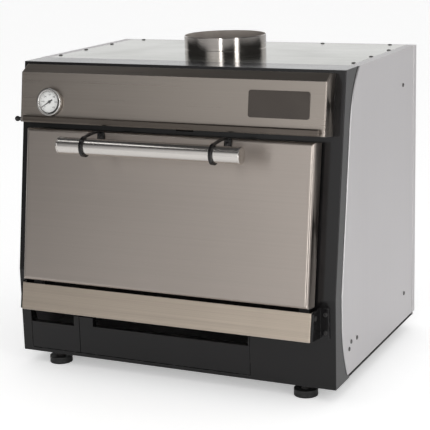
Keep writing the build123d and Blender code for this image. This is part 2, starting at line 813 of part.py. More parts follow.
def skirt_y(z):
    part = (SKIRT_TOP_Z - z) / (SKIRT_TOP_Z - SKIRT_FOOT_Z)
    return FRONT - SKIRT_TOP_OUT - part * (SKIRT_FOOT_OUT - SKIRT_TOP_OUT)


def drip_skirt():
    half = BRACKET_X - FIT
    deep = [
        (skirt_y(SKIRT_TOP_Z), SKIRT_TOP_Z),
        (skirt_y(SKIRT_FOOT_Z), SKIRT_FOOT_Z),
        (skirt_y(SKIRT_FOOT_Z) + SKIRT_RETURN, SKIRT_FOOT_Z),
        (skirt_y(SKIRT_TOP_Z) + SKIRT_RETURN, SKIRT_TOP_Z),
    ]
    hollow = [
        (skirt_y(SKIRT_TOP_Z + 5) + SKIRT_SHEET, SKIRT_TOP_Z + 5),
        (skirt_y(SKIRT_FOOT_Z - 5) + SKIRT_SHEET, SKIRT_FOOT_Z - 5),
        (skirt_y(SKIRT_FOOT_Z - 5) + SKIRT_RETURN * 2, SKIRT_FOOT_Z - 5),
        (skirt_y(SKIRT_TOP_Z + 5) + SKIRT_RETURN * 2, SKIRT_TOP_Z + 5),
    ]
    block = side_slab_points(deep, -half, half)
    corners = block.faces().sort_by(Axis.Y)[0].edges().filter_by(lambda e: abs(e.center().X) > half - 1)
    block = fillet(corners, SKIRT_SHEET)
    block = block - side_slab_points(hollow, -half + SKIRT_SHEET, half - SKIRT_SHEET)
    rod = Pos(0, HINGE_Y, HINGE_Z) * Rot(0, 90, 0) * Cylinder(HINGE_ROD / 2 + 1, CASING_WIDTH)
    return block - rod


def hinge_rod():
    reach = BRACKET_X + BRACKET_PLATE
    rod = Rot(0, 90, 0) * Cylinder(HINGE_ROD / 2, 2 * reach + 2)
    head = Rot(0, 90, 0) * extrude(RegularPolygon(PIN_HEAD / 2, 6), amount=PIN_HEAD_THICK)
    head = Pos(reach + RUN, 0, 0) * head
    rod = rod + head + mirror(head, about=Plane.YZ)
    return Pos(0, HINGE_Y, HINGE_Z) * rod


def hinge_bracket():
    points = [
        (FRONT, SKIRT_FOOT_Z - 6),
        (skirt_y(SKIRT_FOOT_Z + 1) + 3, SKIRT_FOOT_Z + 1),
        (skirt_y(SKIRT_TOP_Z - 3) + 3, SKIRT_TOP_Z - 3),
        (skirt_y(SKIRT_TOP_Z - 3) + 9, SKIRT_TOP_Z + 1),
        (FRONT, SKIRT_TOP_Z + 1),
    ]
    plate = side_slab_points(points, BRACKET_X, BRACKET_X + BRACKET_PLATE)
    foot = box_between(
        (BRACKET_X, FRONT - BRACKET_FOOT_THICK, SKIRT_FOOT_Z - 6),
        (BRACKET_X + BRACKET_FOOT_WIDTH, FRONT, SKIRT_TOP_Z + 1),
    )
    hole = Rot(0, 90, 0) * Cylinder(HINGE_ROD / 2 + FIT, BRACKET_FOOT_WIDTH)
    return plate + foot - Pos(BRACKET_X, HINGE_Y, HINGE_Z) * hole


def frame_screws():
    screws = []
    for z in (SKIRT_FOOT_Z + 8, SKIRT_TOP_Z - 14):
        for x in (-BRACKET_X - BRACKET_SCREW_X, BRACKET_X + BRACKET_SCREW_X):
            head = Rot(90, 0, 0) * screw_head(SCREW_HEAD, SCREW_HEIGHT)
            screws.append(Pos(x, FRONT - BRACKET_FOOT_THICK, z) * head)
    return Compound(screws)


# Door


def door_skin():
    half = DOOR_WIDTH / 2
    pan = box_between((-half, DOOR_FOOT, DOOR_BACK), (half, DOOR_HEAD, DOOR_FACE))
    pan = fillet(pan.faces().sort_by(Axis.Z)[-1].edges(), DOOR_BEND)
    hollow = box_between(
        (-half + DOOR_SHEET, DOOR_FOOT + DOOR_SHEET, DOOR_BACK - 1),
        (half - DOOR_SHEET, DOOR_HEAD - DOOR_SHEET, DOOR_FACE - DOOR_SHEET),
    )
    hollow = fillet(hollow.faces().sort_by(Axis.Z)[-1].edges(), DOOR_BEND - DOOR_SHEET)
    return on_lean(pan - hollow)


def door_liner():
    half = DOOR_WIDTH / 2 - DOOR_SHEET
    plate = box_between(
        (-half, DOOR_FOOT + DOOR_SHEET, GASKET_GAP), (half, DOOR_HEAD - DOOR_SHEET, DOOR_BACK)
    )
    plug_half = CHAMBER_WIDTH / 2 - PLUG_SIDE_GAP
    plug = box_between(
        (-plug_half, MOUTH_FOOT + PLUG_SIDE_GAP, -PLUG_REACH),
        (plug_half, MOUTH_HEAD - PLUG_SIDE_GAP, GASKET_GAP),
    )
    plug = fillet(plug.faces().sort_by(Axis.Z)[0].edges(), PLUG_CORNER)
    return on_lean(plate + plug)


def door_insulation():
    half = DOOR_WIDTH / 2 - DOOR_BEND
    block = box_between(
        (-half, DOOR_FOOT + DOOR_BEND, DOOR_BACK),
        (half, DOOR_HEAD - DOOR_BEND, DOOR_FACE - DOOR_SHEET),
    )
    return on_lean(block)


def door_gasket():
    middle = (MOUTH_FOOT + MOUTH_HEAD) / 2
    edge = 2 * WALL + 2 * GASKET_MARGIN
    inner_x = CHAMBER_WIDTH + edge
    inner_s = MOUTH_HEAD - MOUTH_FOOT + edge
    outer = RectangleRounded(inner_x + 2 * GASKET_WIDTH, inner_s + 2 * GASKET_WIDTH, GASKET_CORNER)
    inner = RectangleRounded(inner_x, inner_s, GASKET_INNER_CORNER)
    rope = extrude(outer - inner, amount=GASKET_GAP - FIT)
    return on_lean(Pos(0, middle, FIT) * rope)


def is_ear_corner(edge):
    # True for the lower rear edge of an ear's arm
    along, out = to_lean(edge.center().Y, edge.center().Z)
    hinge_along, hinge_out = to_lean(HINGE_Y, HINGE_Z)
    at_foot = abs(along - hinge_along + EAR_RADIUS) < 0.1
    return at_foot and abs(out - hinge_out + EAR_REAR) < 0.1


def hinge_ears():
    # Arms that reach from under the door over the skirt and round the hinge rod
    along, out = to_lean(HINGE_Y, HINGE_Z)
    rear = out - EAR_REAR
    front = out - EAR_FRONT
    points = [
        (along - EAR_RADIUS, out),
        (along - EAR_RADIUS, rear),
        (DOOR_FOOT, rear),
        (DOOR_FOOT, front),
        (along + EAR_RADIUS - EAR_STEP, front),
        (along + EAR_RADIUS - EAR_STEP, out),
    ]
    low = EAR_X - EAR_WIDTH / 2
    arm = lean_slab(points, low, low + EAR_WIDTH)
    arm = fillet(arm.edges().filter_by(Axis.X).filter_by(is_ear_corner), EAR_CORNER)
    knuckle = lean_rod(low, along, out, EAR_WIDTH, EAR_RADIUS)
    pad = box_between(
        (EAR_X - EAR_WIDTH, DOOR_FOOT - EAR_PAD, DOOR_BACK),
        (EAR_X + EAR_WIDTH * 0.8, DOOR_FOOT, out - EAR_PAD_SET),
    )
    bore = lean_rod(low - 5, along, out, EAR_WIDTH + 10, HINGE_ROD / 2 + RUN)
    return Compound(both_sides(arm + knuckle + on_lean(pad) - bore))


def at_handle(shape):
    # Places a shape drawn along Z so that it lies along X on the handle's line
    y, z = lean_point(HANDLE_S, HANDLE_OUT)
    return Pos(0, y, z) * Rot(0, 90, 0) * shape


def handle_tube():
    length = HANDLE_LENGTH - 2 * CAP_THICK
    tube = Cylinder(HANDLE_DIAMETER / 2, length) - Cylinder(HANDLE_DIAMETER / 2 - HANDLE_WALL, length * 2)
    return at_handle(tube)


def handle_end_caps():
    disc = Pos(0, 0, CAP_THICK / 2) * Cylinder(HANDLE_DIAMETER / 2 + CAP_RIM, CAP_THICK)
    disc = chamfer(disc.edges().group_by(Axis.Z)[-1], CAP_EDGE)
    spigot = covered_disc(HANDLE_DIAMETER / 2 - HANDLE_WALL - FIT, CAP_SPIGOT)
    cap = disc + Pos(0, 0, -CAP_SPIGOT) * spigot
    cap = at_handle(Pos(0, 0, HANDLE_LENGTH / 2 - CAP_THICK) * cap)
    return Compound(both_sides(cap))


def strap_foot_middle():
    return HANDLE_S + STRAP_RISE - STRAP_FOOT_HEIGHT / 2


def strap_arm(low, inner):
    # The run from the door to the top of the hook
    head = HANDLE_S + STRAP_RISE
    root = DOOR_FACE + STRAP_FOOT_THICK / 2
    bend = root + STRAP_REACH
    outer_run = [
        (head, root),
        (head, bend),
        (head - STRAP_DROP, HANDLE_OUT - STRAP_KNEE),
        (HANDLE_S + inner + STRAP_THICK, HANDLE_OUT),
    ]
    inner_run = [
        (HANDLE_S + inner, HANDLE_OUT),
        (head - STRAP_DROP - STRAP_THICK, HANDLE_OUT - STRAP_KNEE - 1),
        (head - STRAP_THICK, bend - 1),
        (head - STRAP_THICK, root),
    ]
    return lean_slab(outer_run + inner_run, low, low + STRAP_WIDTH)


def strap_hook(low, inner):
    # The bent end that goes round the front of the tube and stops under it
    outer = inner + STRAP_THICK
    x_high = low + STRAP_WIDTH + 1
    disc = lean_rod(low, HANDLE_S, HANDLE_OUT, STRAP_WIDTH, outer)
    bore = lean_rod(low - 1, HANDLE_S, HANDLE_OUT, STRAP_WIDTH + 2, inner)
    above = box_between((low - 1, HANDLE_S, 0), (x_high, HANDLE_S + outer + 1, HANDLE_OUT))
    below = box_between((low - 1, HANDLE_S - outer - 1, 0), (x_high, HANDLE_S, HANDLE_OUT - STRAP_BACK))
    return disc - bore - on_lean(above) - on_lean(below)


def handle_bracket():
    # A strap that leaves the door above the tube, hooks round its front and ends under it
    low = STRAP_X - STRAP_WIDTH / 2
    inner = HANDLE_DIAMETER / 2 + FIT
    foot = Box(STRAP_FOOT_WIDTH, STRAP_FOOT_HEIGHT, STRAP_FOOT_THICK)
    foot = chamfer(foot.edges().filter_by(Axis.Z), STRAP_CORNER)
    foot = on_lean(Pos(STRAP_X, strap_foot_middle(), DOOR_FACE + STRAP_FOOT_THICK / 2) * foot)
    return strap_arm(low, inner) + strap_hook(low, inner) + foot


def bracket_bolts():
    head = screw_head(STRAP_BOLT, STRAP_BOLT_HEIGHT)
    face = DOOR_FACE + STRAP_FOOT_THICK
    spots = [Pos(x, strap_foot_middle(), face) for x in (-STRAP_X, STRAP_X)]
    return Compound([on_lean(spot * head) for spot in spots])


# Ash drawer and draught panel


def notched_front(left, right, notch_left, notch_right, notch_foot):
    # A folded front panel with a finger notch cut in its upper edge
    rear = FRONT + DRAWER_FRONT
    plate = box_between((left, FRONT, DRAWER_FOOT), (right, rear, DRAWER_HEAD))
    notch = box_between((notch_left, FRONT - 1, notch_foot), (notch_right, rear + 1, DRAWER_HEAD + 1))
    hollow = box_between(
        (left + SHEET, FRONT + SHEET, DRAWER_FOOT + SHEET), (right - SHEET, rear + 1, notch_foot - SHEET)
    )
    plate = plate - notch - hollow
    return fillet(plate.faces().sort_by(Axis.Y)[0].edges(), DRAWER_EDGE)


def open_tray(left, right, depth, wall):
    # A tray on the runners, open at the top, from the back of a front panel
    low = (left, FRONT + SHEET, TRAY_FOOT)
    high = (right, FRONT + SHEET + depth, TRAY_FOOT + wall)
    hollow_low = [value + TRAY_SHEET for value in low]
    hollow_high = (high[0] - TRAY_SHEET, high[1] - TRAY_SHEET, high[2] + 1)
    return box_between(low, high) - box_between(hollow_low, hollow_high)


def ash_drawer_front():
    notch_left = DRAWER_LEFT + DRAWER_NOTCH_LEFT
    notch_right = DRAWER_RIGHT - DRAWER_NOTCH_RIGHT
    notch_foot = DRAWER_HEAD - DRAWER_NOTCH_DEPTH
    return notched_front(DRAWER_LEFT, DRAWER_RIGHT, notch_left, notch_right, notch_foot)


def ash_drawer_tray():
    return open_tray(DRAWER_LEFT + TRAY_MARGIN, DRAWER_RIGHT - TRAY_MARGIN, TRAY_DEPTH, TRAY_WALL)


def draught_front():
    notch_right = DRAUGHT_RIGHT - DRAUGHT_POST
    notch_foot = DRAWER_HEAD - DRAUGHT_NOTCH_DEPTH
    return notched_front(DRAUGHT_LEFT, DRAUGHT_RIGHT, DRAUGHT_LEFT - 1, notch_right, notch_foot)


def draught_tray():
    return open_tray(
        DRAUGHT_LEFT + TRAY_MARGIN, DRAUGHT_RIGHT - TRAY_MARGIN, DRAUGHT_DEPTH, DRAUGHT_WALL
    )


def drawer_runners():
    # Flat strips on the bottom pan that carry the tray and the draught box
    base = FLOOR_GAP + SHEET
    start = FRONT + DRAWER_FRONT + RUNNER_INSET
    strips = []
    edges = (
        (DRAWER_LEFT + TRAY_MARGIN, DRAWER_RIGHT - TRAY_MARGIN, TRAY_DEPTH),
        (DRAUGHT_LEFT + TRAY_MARGIN, DRAUGHT_RIGHT - TRAY_MARGIN, DRAUGHT_DEPTH),
    )
    for left, right, depth in edges:
        for x in (left + RUNNER_INSET, right - RUNNER_WIDTH - RUNNER_INSET):
            end = (x + RUNNER_WIDTH, FRONT + DRAWER_FRONT + depth, TRAY_FOOT - FIT)
            strips.append(box_between((x, start, base), end))
    return Compound(strips)


# Smoke damper


def ball_slice(radius, ring):
    # One band of a ball: a polygon that tapers to the next band's polygon
    turns = [math.radians(80) * step / BALL_RINGS for step in (ring, ring + 1)]
    low, high = [radius * math.sin(turn) for turn in turns]
    wide, narrow = [radius * math.cos(turn) for turn in turns]
    inset = (wide - narrow) * math.cos(math.pi / BALL_SIDES)
    taper = math.degrees(math.atan2(inset, high - low))
    return Pos(0, 0, low) * extrude(RegularPolygon(wide, BALL_SIDES), amount=high - low, taper=taper)


def damper_knob():
    # A ball of flat bands with a short neck that takes the end of the rod
    y, z = lean_point(DAMPER_S, DAMPER_O)
    radius = DAMPER_BALL / 2
    half = Compound([ball_slice(radius, ring) for ring in range(BALL_RINGS)])
    dome = half.solids()[0].fuse(*half.solids()[1:])
    neck = extrude(RegularPolygon(DAMPER_ROD / 2 + 1, BALL_SIDES), amount=radius)
    solid = dome + mirror(dome, about=Plane.XY) + Pos(0, 0, radius / 2) * neck
    socket = RegularPolygon(DAMPER_ROD / 2 + FIT, BALL_SIDES, major_radius=False)
    hole = Pos(0, 0, DAMPER_SOCKET - 0.5) * extrude(socket, amount=radius * 2)
    return Pos(DAMPER_BALL_X, y, z) * Rot(0, 90, 0) * (solid - hole)


def damper_rod():
    start = DAMPER_BALL_X + DAMPER_SOCKET
    return lean_rod(start, DAMPER_S, DAMPER_O, BLADE_LEFT + LUG_GRIP - start, DAMPER_ROD / 2)


def damper_blade():
    back = -CHAMBER_SET_BACK + WALL + FIT
    plate = box_between(
        (BLADE_LEFT, DAMPER_S - BLADE_HEIGHT / 2, back),
        (BLADE_RIGHT, DAMPER_S + BLADE_HEIGHT / 2, back + BLADE_THICK),
    )
    lug = box_between(
        (BLADE_LEFT, DAMPER_S - LUG_HALF, back),
        (BLADE_LEFT + LUG_LENGTH, DAMPER_S + LUG_HALF, DAMPER_O + LUG_HALF),
    )
    hole = lean_rod(BLADE_LEFT - 1, DAMPER_S, DAMPER_O, LUG_GRIP + 1, DAMPER_ROD / 2 + FIT)
    return on_lean(plate + lug) - hole


# Screws


def side_screws():
    spots = [(BACK - SIDE_SCREW_BACK, TOP - SIDE_SCREW_TOP)]
    spots += [(BACK - from_back, FLOOR_GAP + above) for from_back, above in SIDE_SCREWS_LOW]
    head = Rot(0, 90, 0) * screw_head(SCREW_HEAD, SCREW_HEIGHT)
    screws = []
    for y, z in spots:
        screws += both_sides(Pos(HALF + SKIN, y, z) * head)
    return Compound(screws)


def top_screws():
    x_edge = HALF - TOP_SCREW_INSET
    spots = [(x, BACK - row) for x in (-x_edge, x_edge) for row in TOP_SCREW_ROWS]
    spots += [(side * x, BACK - BACK_SCREW_INSET) for side in (-1, 1) for x in BACK_SCREW_X]
    return Compound([Pos(x, y, TOP) * screw_head(SCREW_HEAD, SCREW_HEIGHT) for x, y in spots])


NODES = {
    "front_frame": front_frame,
    "side_panel_left": side_panel_left,
    "side_panel_right": side_panel,
    "top_panel": top_panel,
    "back_panel": back_panel,
    "bottom_pan": bottom_pan,
    "foot_pads": foot_pads,
    "foot_studs": foot_studs,
    "fascia_panel": fascia_panel,
    "fascia_lip": fascia_lip,
    "blank_plate": blank_plate,
    "thermometer_bezel": thermometer_bezel,
    "thermometer_dial": thermometer_dial,
    "thermometer_glass": thermometer_glass,
    "thermometer_stem": thermometer_stem,
    "thermometer_needle": thermometer_needle,
    "flue_collar": flue_collar,
    "flue_throat": flue_throat,
    "chamber_floor": chamber_floor,
    "chamber_roof": chamber_roof,
    "chamber_rear": chamber_rear,
    "chamber_side_right": chamber_side,
    "chamber_side_left": lambda: mirror(chamber_side(), about=Plane.YZ),
    "mouth_frame": mouth_frame,
    "insulation": insulation,
    "ash_chute": ash_chute,
    "charcoal_grate": charcoal_grate,
    "grid_rails": grid_rails,
    "cooking_grid": cooking_grid,
    "drip_skirt": drip_skirt,
    "hinge_rod": hinge_rod,
    "hinge_bracket_right": hinge_bracket,
    "hinge_bracket_left": lambda: mirror(hinge_bracket(), about=Plane.YZ),
    "frame_screws": frame_screws,
    "door_skin": door_skin,
    "door_liner": door_liner,
    "door_insulation": door_insulation,
    "door_gasket": door_gasket,
    "hinge_ears": hinge_ears,
    "handle_tube": handle_tube,
    "handle_end_caps": handle_end_caps,
    "handle_bracket_right": handle_bracket,
    "handle_bracket_left": lambda: mirror(handle_bracket(), about=Plane.YZ),
    "bracket_bolts": bracket_bolts,
    "ash_drawer_front": ash_drawer_front,
    "ash_drawer_tray": ash_drawer_tray,
    "draught_front": draught_front,
    "draught_tray": draught_tray,
    "drawer_runners": drawer_runners,
    "damper_knob": damper_knob,
    "damper_rod": damper_rod,
    "damper_blade": damper_blade,
    "side_screws": side_screws,
    "top_screws": top_screws,
}


def main():
    os.makedirs("parts", exist_ok=True)
    for name, make in NODES.items():
        export_step(make(), f"parts/{name}.step")


if __name__ == "__main__":
    main()
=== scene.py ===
import json
import logging
import math
from dataclasses import dataclass
from enum import Enum

import bmesh
import bpy
from mathutils import Matrix, Vector


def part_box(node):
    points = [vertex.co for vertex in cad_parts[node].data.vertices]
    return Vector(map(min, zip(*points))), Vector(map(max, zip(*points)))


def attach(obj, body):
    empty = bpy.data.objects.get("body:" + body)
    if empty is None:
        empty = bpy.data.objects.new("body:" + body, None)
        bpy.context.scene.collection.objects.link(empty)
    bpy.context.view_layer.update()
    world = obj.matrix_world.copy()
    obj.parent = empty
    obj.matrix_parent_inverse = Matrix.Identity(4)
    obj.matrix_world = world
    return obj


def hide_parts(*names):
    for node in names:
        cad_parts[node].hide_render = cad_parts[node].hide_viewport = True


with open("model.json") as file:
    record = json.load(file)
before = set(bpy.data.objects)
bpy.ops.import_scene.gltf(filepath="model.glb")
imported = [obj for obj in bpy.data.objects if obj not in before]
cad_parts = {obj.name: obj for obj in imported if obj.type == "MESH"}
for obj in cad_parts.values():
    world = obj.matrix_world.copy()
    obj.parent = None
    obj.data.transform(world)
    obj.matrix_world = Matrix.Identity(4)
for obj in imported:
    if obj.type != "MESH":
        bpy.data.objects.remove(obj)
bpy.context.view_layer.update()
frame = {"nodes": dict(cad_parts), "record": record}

LOG = logging.getLogger("charcoal_oven")
MM = 0.001
MERGE = 0.001 * MM
FRONT_LEAN = math.atan2(81, 512)
OUTWARDS = Vector((0, -math.cos(FRONT_LEAN), math.sin(FRONT_LEAN)))
UP_THE_FRONT = Vector((0, math.sin(FRONT_LEAN), math.cos(FRONT_LEAN)))
WHITE = (1.0, 1.0, 1.0, 1.0)
NUMBER = "NodeSocketFloat"
VECTOR = "NodeSocketVector"

Colour = tuple[float, float, float]
Feeds = dict[str | int, object]
Mesh = bmesh.types.BMesh
Node = bpy.types.Node
Object = bpy.types.Object
Pair = tuple[float, float]
Point = tuple[float, float, float]
Profile = list[Pair]
Socket = bpy.types.NodeSocket
Tree = bpy.types.NodeTree


class Direction(Enum):
    """The way in which a sheet was brushed, as stretches of the grain along X, Y and Z."""

    SIDEWAYS = (3.0, 900.0, 900.0)
    UPRIGHT = (900.0, 900.0, 3.0)
    BACKWARDS = (900.0, 3.0, 900.0)


# Nodes


def fill(tree: Tree, target: Socket, value: object) -> None:
    """Links a socket to an input, or sets a plain value on it.

    Args:
        tree: The tree that holds the input.
        target: The input.
        value: A socket that feeds it, or its value.
    """
    if isinstance(value, Socket):
        tree.links.new(value, target)
    else:
        target.default_value = value


def add_node(tree: Tree, kind: str, feeds: Feeds | None = None, **settings: object) -> Node:
    """Adds a node, sets its properties and fills its inputs.

    Args:
        tree: The tree that gets the node.
        kind: Blender's name of the node's type.
        feeds: Name or number of an input to a socket that feeds it, or to its value.
        **settings: Property name to value, set before the inputs are filled.

    Returns:
        The node.
    """
    node = tree.nodes.new(kind)
    for name, value in settings.items():
        setattr(node, name, value)
    for label, value in (feeds or {}).items():
        fill(tree, node.inputs[label], value)
    return node


def math_node(tree: Tree, operation: str, first: object, second: object) -> Socket:
    """Adds a math node on two sockets or numbers and gives its output."""
    return add_node(tree, "ShaderNodeMath", {0: first, 1: second}, operation=operation).outputs[0]


def vector_node(tree: Tree, operation: str, first: object, second: object) -> Node:
    """Adds a vector math node on two sockets or vectors; its Value output is a number."""
    return add_node(tree, "ShaderNodeVectorMath", {0: first, 1: second}, operation=operation)


def range_node(tree: Tree, value: Socket, low: object, high: object) -> Socket:
    """Stretches a value so that low becomes 0 and high becomes 1, and keeps it between them."""
    feeds = {"Value": value, "From Min": low, "From Max": high}
    return add_node(tree, "ShaderNodeMapRange", feeds).outputs["Result"]


def noise_node(tree: Tree, where: Socket, scale: object, detail: object, warp: float = 0.0) -> Socket:
    """Adds a noise over the coordinates of where and gives it as a number."""
    feeds = {"Vector": where, "Scale": scale, "Detail": detail, "Distortion": warp}
    return add_node(tree, "ShaderNodeTexNoise", feeds).outputs[0]


def object_place(tree: Tree) -> Socket:
    """Gives the coordinates in the object's own frame."""
    return add_node(tree, "ShaderNodeTexCoord").outputs["Object"]


def mix_surface(tree: Tree, output: str, mask: Socket, first: Socket, second: Socket) -> None:
    """Gives an output node a mix of two shaders, the first where the mask is 0."""
    mix = add_node(tree, "ShaderNodeMixShader", {0: mask, 1: first, 2: second})
    fill(tree, tree.nodes[output].inputs["Surface"], mix.outputs[0])


def open_group(name: str, inputs: dict[str, object], outputs: dict[str, str]) -> Tree:
    """Makes an empty shader node group with named sockets.

    Args:
        name: Name of the group.
        inputs: Socket name to default value, a number or a tuple of three.
        outputs: Socket name to socket type.

    Returns:
        The group, with a node called "in" for its inputs and one called "out" for its outputs.
    """
    tree = bpy.data.node_groups.new(name, "ShaderNodeTree")
    for label, value in inputs.items():
        kind = VECTOR if isinstance(value, tuple) else NUMBER
        tree.interface.new_socket(label, in_out="INPUT", socket_type=kind).default_value = value
    for label, kind in outputs.items():
        tree.interface.new_socket(label, in_out="OUTPUT", socket_type=kind)
    tree.nodes.new("NodeGroupInput").name = "in"
    tree.nodes.new("NodeGroupOutput").name = "out"
    return tree


def close_group(tree: Tree, results: dict[str, Socket]) -> Tree:
    """Links a group's results to its outputs.

    Args:
        tree: The group.
        results: Output name to the socket that feeds it.

    Returns:
        The same group.
    """
    for label, socket in results.items():
        fill(tree, tree.nodes["out"].inputs[label], socket)
    return tree


# Shared effects


class Effects:
    """The effects that several finishes share, each a node group that is built once.

    A range holds the two values of a noise or a cosine that become 0 and 1.
    """

    FINE_SCALE = 1.0
    FINE_DETAIL = 3.0
    FINE_SHARE = 0.6
    BROAD_SCALE = 0.18
    BROAD_DETAIL = 2.0
    STREAK_RANGE = (0.32, 0.68)
    PATCH_DETAIL = 5.0
    PATCH_WARP = 0.6
    BEVEL_SAMPLES = 4
    BEND_RANGE = (0.995, 0.86)
    BREAK_DETAIL = 4.0
    BREAK_RANGE = (0.38, 0.62)

    def __init__(self) -> None:
        """Builds the groups."""
        self.grain = self.build_grain()
        self.cloud = self.build_cloud()
        self.wear_and_highlight = self.build_wear_and_highlight()
        self.speckle = self.build_speckle()

    def build_grain(self) -> Tree:
        """Makes the fine parallel scratches of a brushed sheet.

        Returns:
            A group with the output Streaks.
        """
        tree = open_group("brushed_grain", {"Stretch": Direction.SIDEWAYS.value}, {"Streaks": NUMBER})
        stretch = tree.nodes["in"].outputs["Stretch"]
        where = vector_node(tree, "MULTIPLY", object_place(tree), stretch).outputs[0]
        fine = noise_node(tree, where, self.FINE_SCALE, self.FINE_DETAIL)
        broad = noise_node(tree, where, self.BROAD_SCALE, self.BROAD_DETAIL)
        fine_part = math_node(tree, "MULTIPLY", fine, self.FINE_SHARE)
        broad_part = math_node(tree, "MULTIPLY", broad, 1 - self.FINE_SHARE)
        mixed = math_node(tree, "ADD", fine_part, broad_part)
        return close_group(tree, {"Streaks": range_node(tree, mixed, *self.STREAK_RANGE)})

    def build_cloud(self) -> Tree:
        """Makes large soft patches, for smears and uneven tone.

        Returns:
            A group with the output Mask.
        """
        tree = open_group("soft_patches", {"Scale": 6.0, "Low": 0.35, "High": 0.7}, {"Mask": NUMBER})
        taken = tree.nodes["in"].outputs
        place = object_place(tree)
        noise = noise_node(tree, place, taken["Scale"], self.PATCH_DETAIL, self.PATCH_WARP)
        return close_group(tree, {"Mask": range_node(tree, noise, taken["Low"], taken["High"])})

    def build_wear_and_highlight(self) -> Tree:
        """Makes rounded edges and a mask of rubbed edges, which brushed steel also uses for a painted
        highlight; both are found by how much a rounded normal leaves the true one.

        Returns:
            A group with the outputs Mask and Rounded.
        """
        inputs = {"Width": 1.5 * MM, "Break": 120.0}
        tree = open_group("rubbed_and_highlighted_edges", inputs, {"Mask": NUMBER, "Rounded": VECTOR})
        taken = tree.nodes["in"].outputs
        bevel = add_node(tree, "ShaderNodeBevel", {"Radius": taken["Width"]}, samples=self.BEVEL_SAMPLES)
        surface = add_node(tree, "ShaderNodeNewGeometry")
        dot = vector_node(tree, "DOT_PRODUCT", bevel.outputs[0], surface.outputs["Normal"])
        bend = range_node(tree, dot.outputs["Value"], *self.BEND_RANGE)
        noise = noise_node(tree, object_place(tree), taken["Break"], self.BREAK_DETAIL)
        broken = range_node(tree, noise, *self.BREAK_RANGE)
        mask = math_node(tree, "MULTIPLY", bend, broken)
        return close_group(tree, {"Mask": mask, "Rounded": bevel.outputs[0]})

    def build_speckle(self) -> Tree:
        """Makes a fine even roughness, such as the skin of paint, plastic or a casting.

        Returns:
            A group with the output Height.
        """
        tree = open_group("fine_skin", {"Scale": 900.0, "Detail": 2.0}, {"Height": NUMBER})
        taken = tree.nodes["in"].outputs
        height = noise_node(tree, object_place(tree), taken["Scale"], taken["Detail"])
        return close_group(tree, {"Height": height})


class Bench:
    """A material under construction: its tree, its Principled shader and short ways to add nodes."""

    def __init__(self, name: str) -> None:
        """Starts a material.

        Args:
            name: Name of the material.
        """
        self.material = bpy.data.materials.new(name)
        self.material.use_nodes = True
        self.tree = self.material.node_tree
        self.shader = self.tree.nodes["Principled BSDF"]

    def effect(self, group: Tree, feeds: dict[str, object]) -> bpy.types.ShaderNodeGroup:
        """Places a shared effect and fills its inputs."""
        return add_node(self.tree, "ShaderNodeGroup", feeds, node_tree=group)

    def shade(self, feeds: dict[str, object]) -> None:
        """Fills inputs of the shader with sockets, or with values that are the same all over."""
        for label, value in feeds.items():
            fill(self.tree, self.shader.inputs[label], value)

    def tint(self, mask: Socket, first: object, second: object) -> Socket:
        """Mixes two colours by a mask.

        Args:
            mask: 0 gives the first colour and 1 the second.
            first: A colour or a colour socket.
            second: A colour or a colour socket.

        Returns:
            The mixed colour socket.
        """
        pair = [(*colour, 1.0) if isinstance(colour, tuple) else colour for colour in (first, second)]
        feeds = {"Factor": mask, 6: pair[0], 7: pair[1]}
        return add_node(self.tree, "ShaderNodeMix", feeds, data_type="RGBA").outputs[2]

    def blend(self, mask: Socket, low: float, high: float) -> Socket:
        """Turns a mask into a value that is low at 0 and high at 1."""
        feeds = {"Value": mask, "To Min": low, "To Max": high}
        return add_node(self.tree, "ShaderNodeMapRange", feeds).outputs["Result"]

    def bump(self, height: Socket, strength: float, distance: float, edges: Node | None = None) -> None:
        """Feeds the shader's normal from a height.

        Args:
            height: The height socket.
            strength: Strength of the bump.
            distance: Height in metres of a full step.
            edges: The placed edge effect, where the edges look rounded.
        """
        feeds = {"Height": height, "Strength": strength, "Distance": distance}
        if edges:
            feeds["Normal"] = edges.outputs["Rounded"]
        self.shade({"Normal": add_node(self.tree, "ShaderNodeBump", feeds).outputs[0]})


# Finishes


@dataclass(frozen=True)
class Finish:
    """A finish that builds its own material."""

    name: str

    def paint(self, bench: Bench, effects: Effects) -> None:
        """Adds the finish's nodes to a material, with the shared effects."""
        raise NotImplementedError

    def build(self, effects: Effects) -> bpy.types.Material:
        """Builds the material.

        Args:
            effects: The shared effects.

        Returns:
            The material.
        """
        bench = Bench(self.name)
        self.paint(bench, effects)
        return bench.material


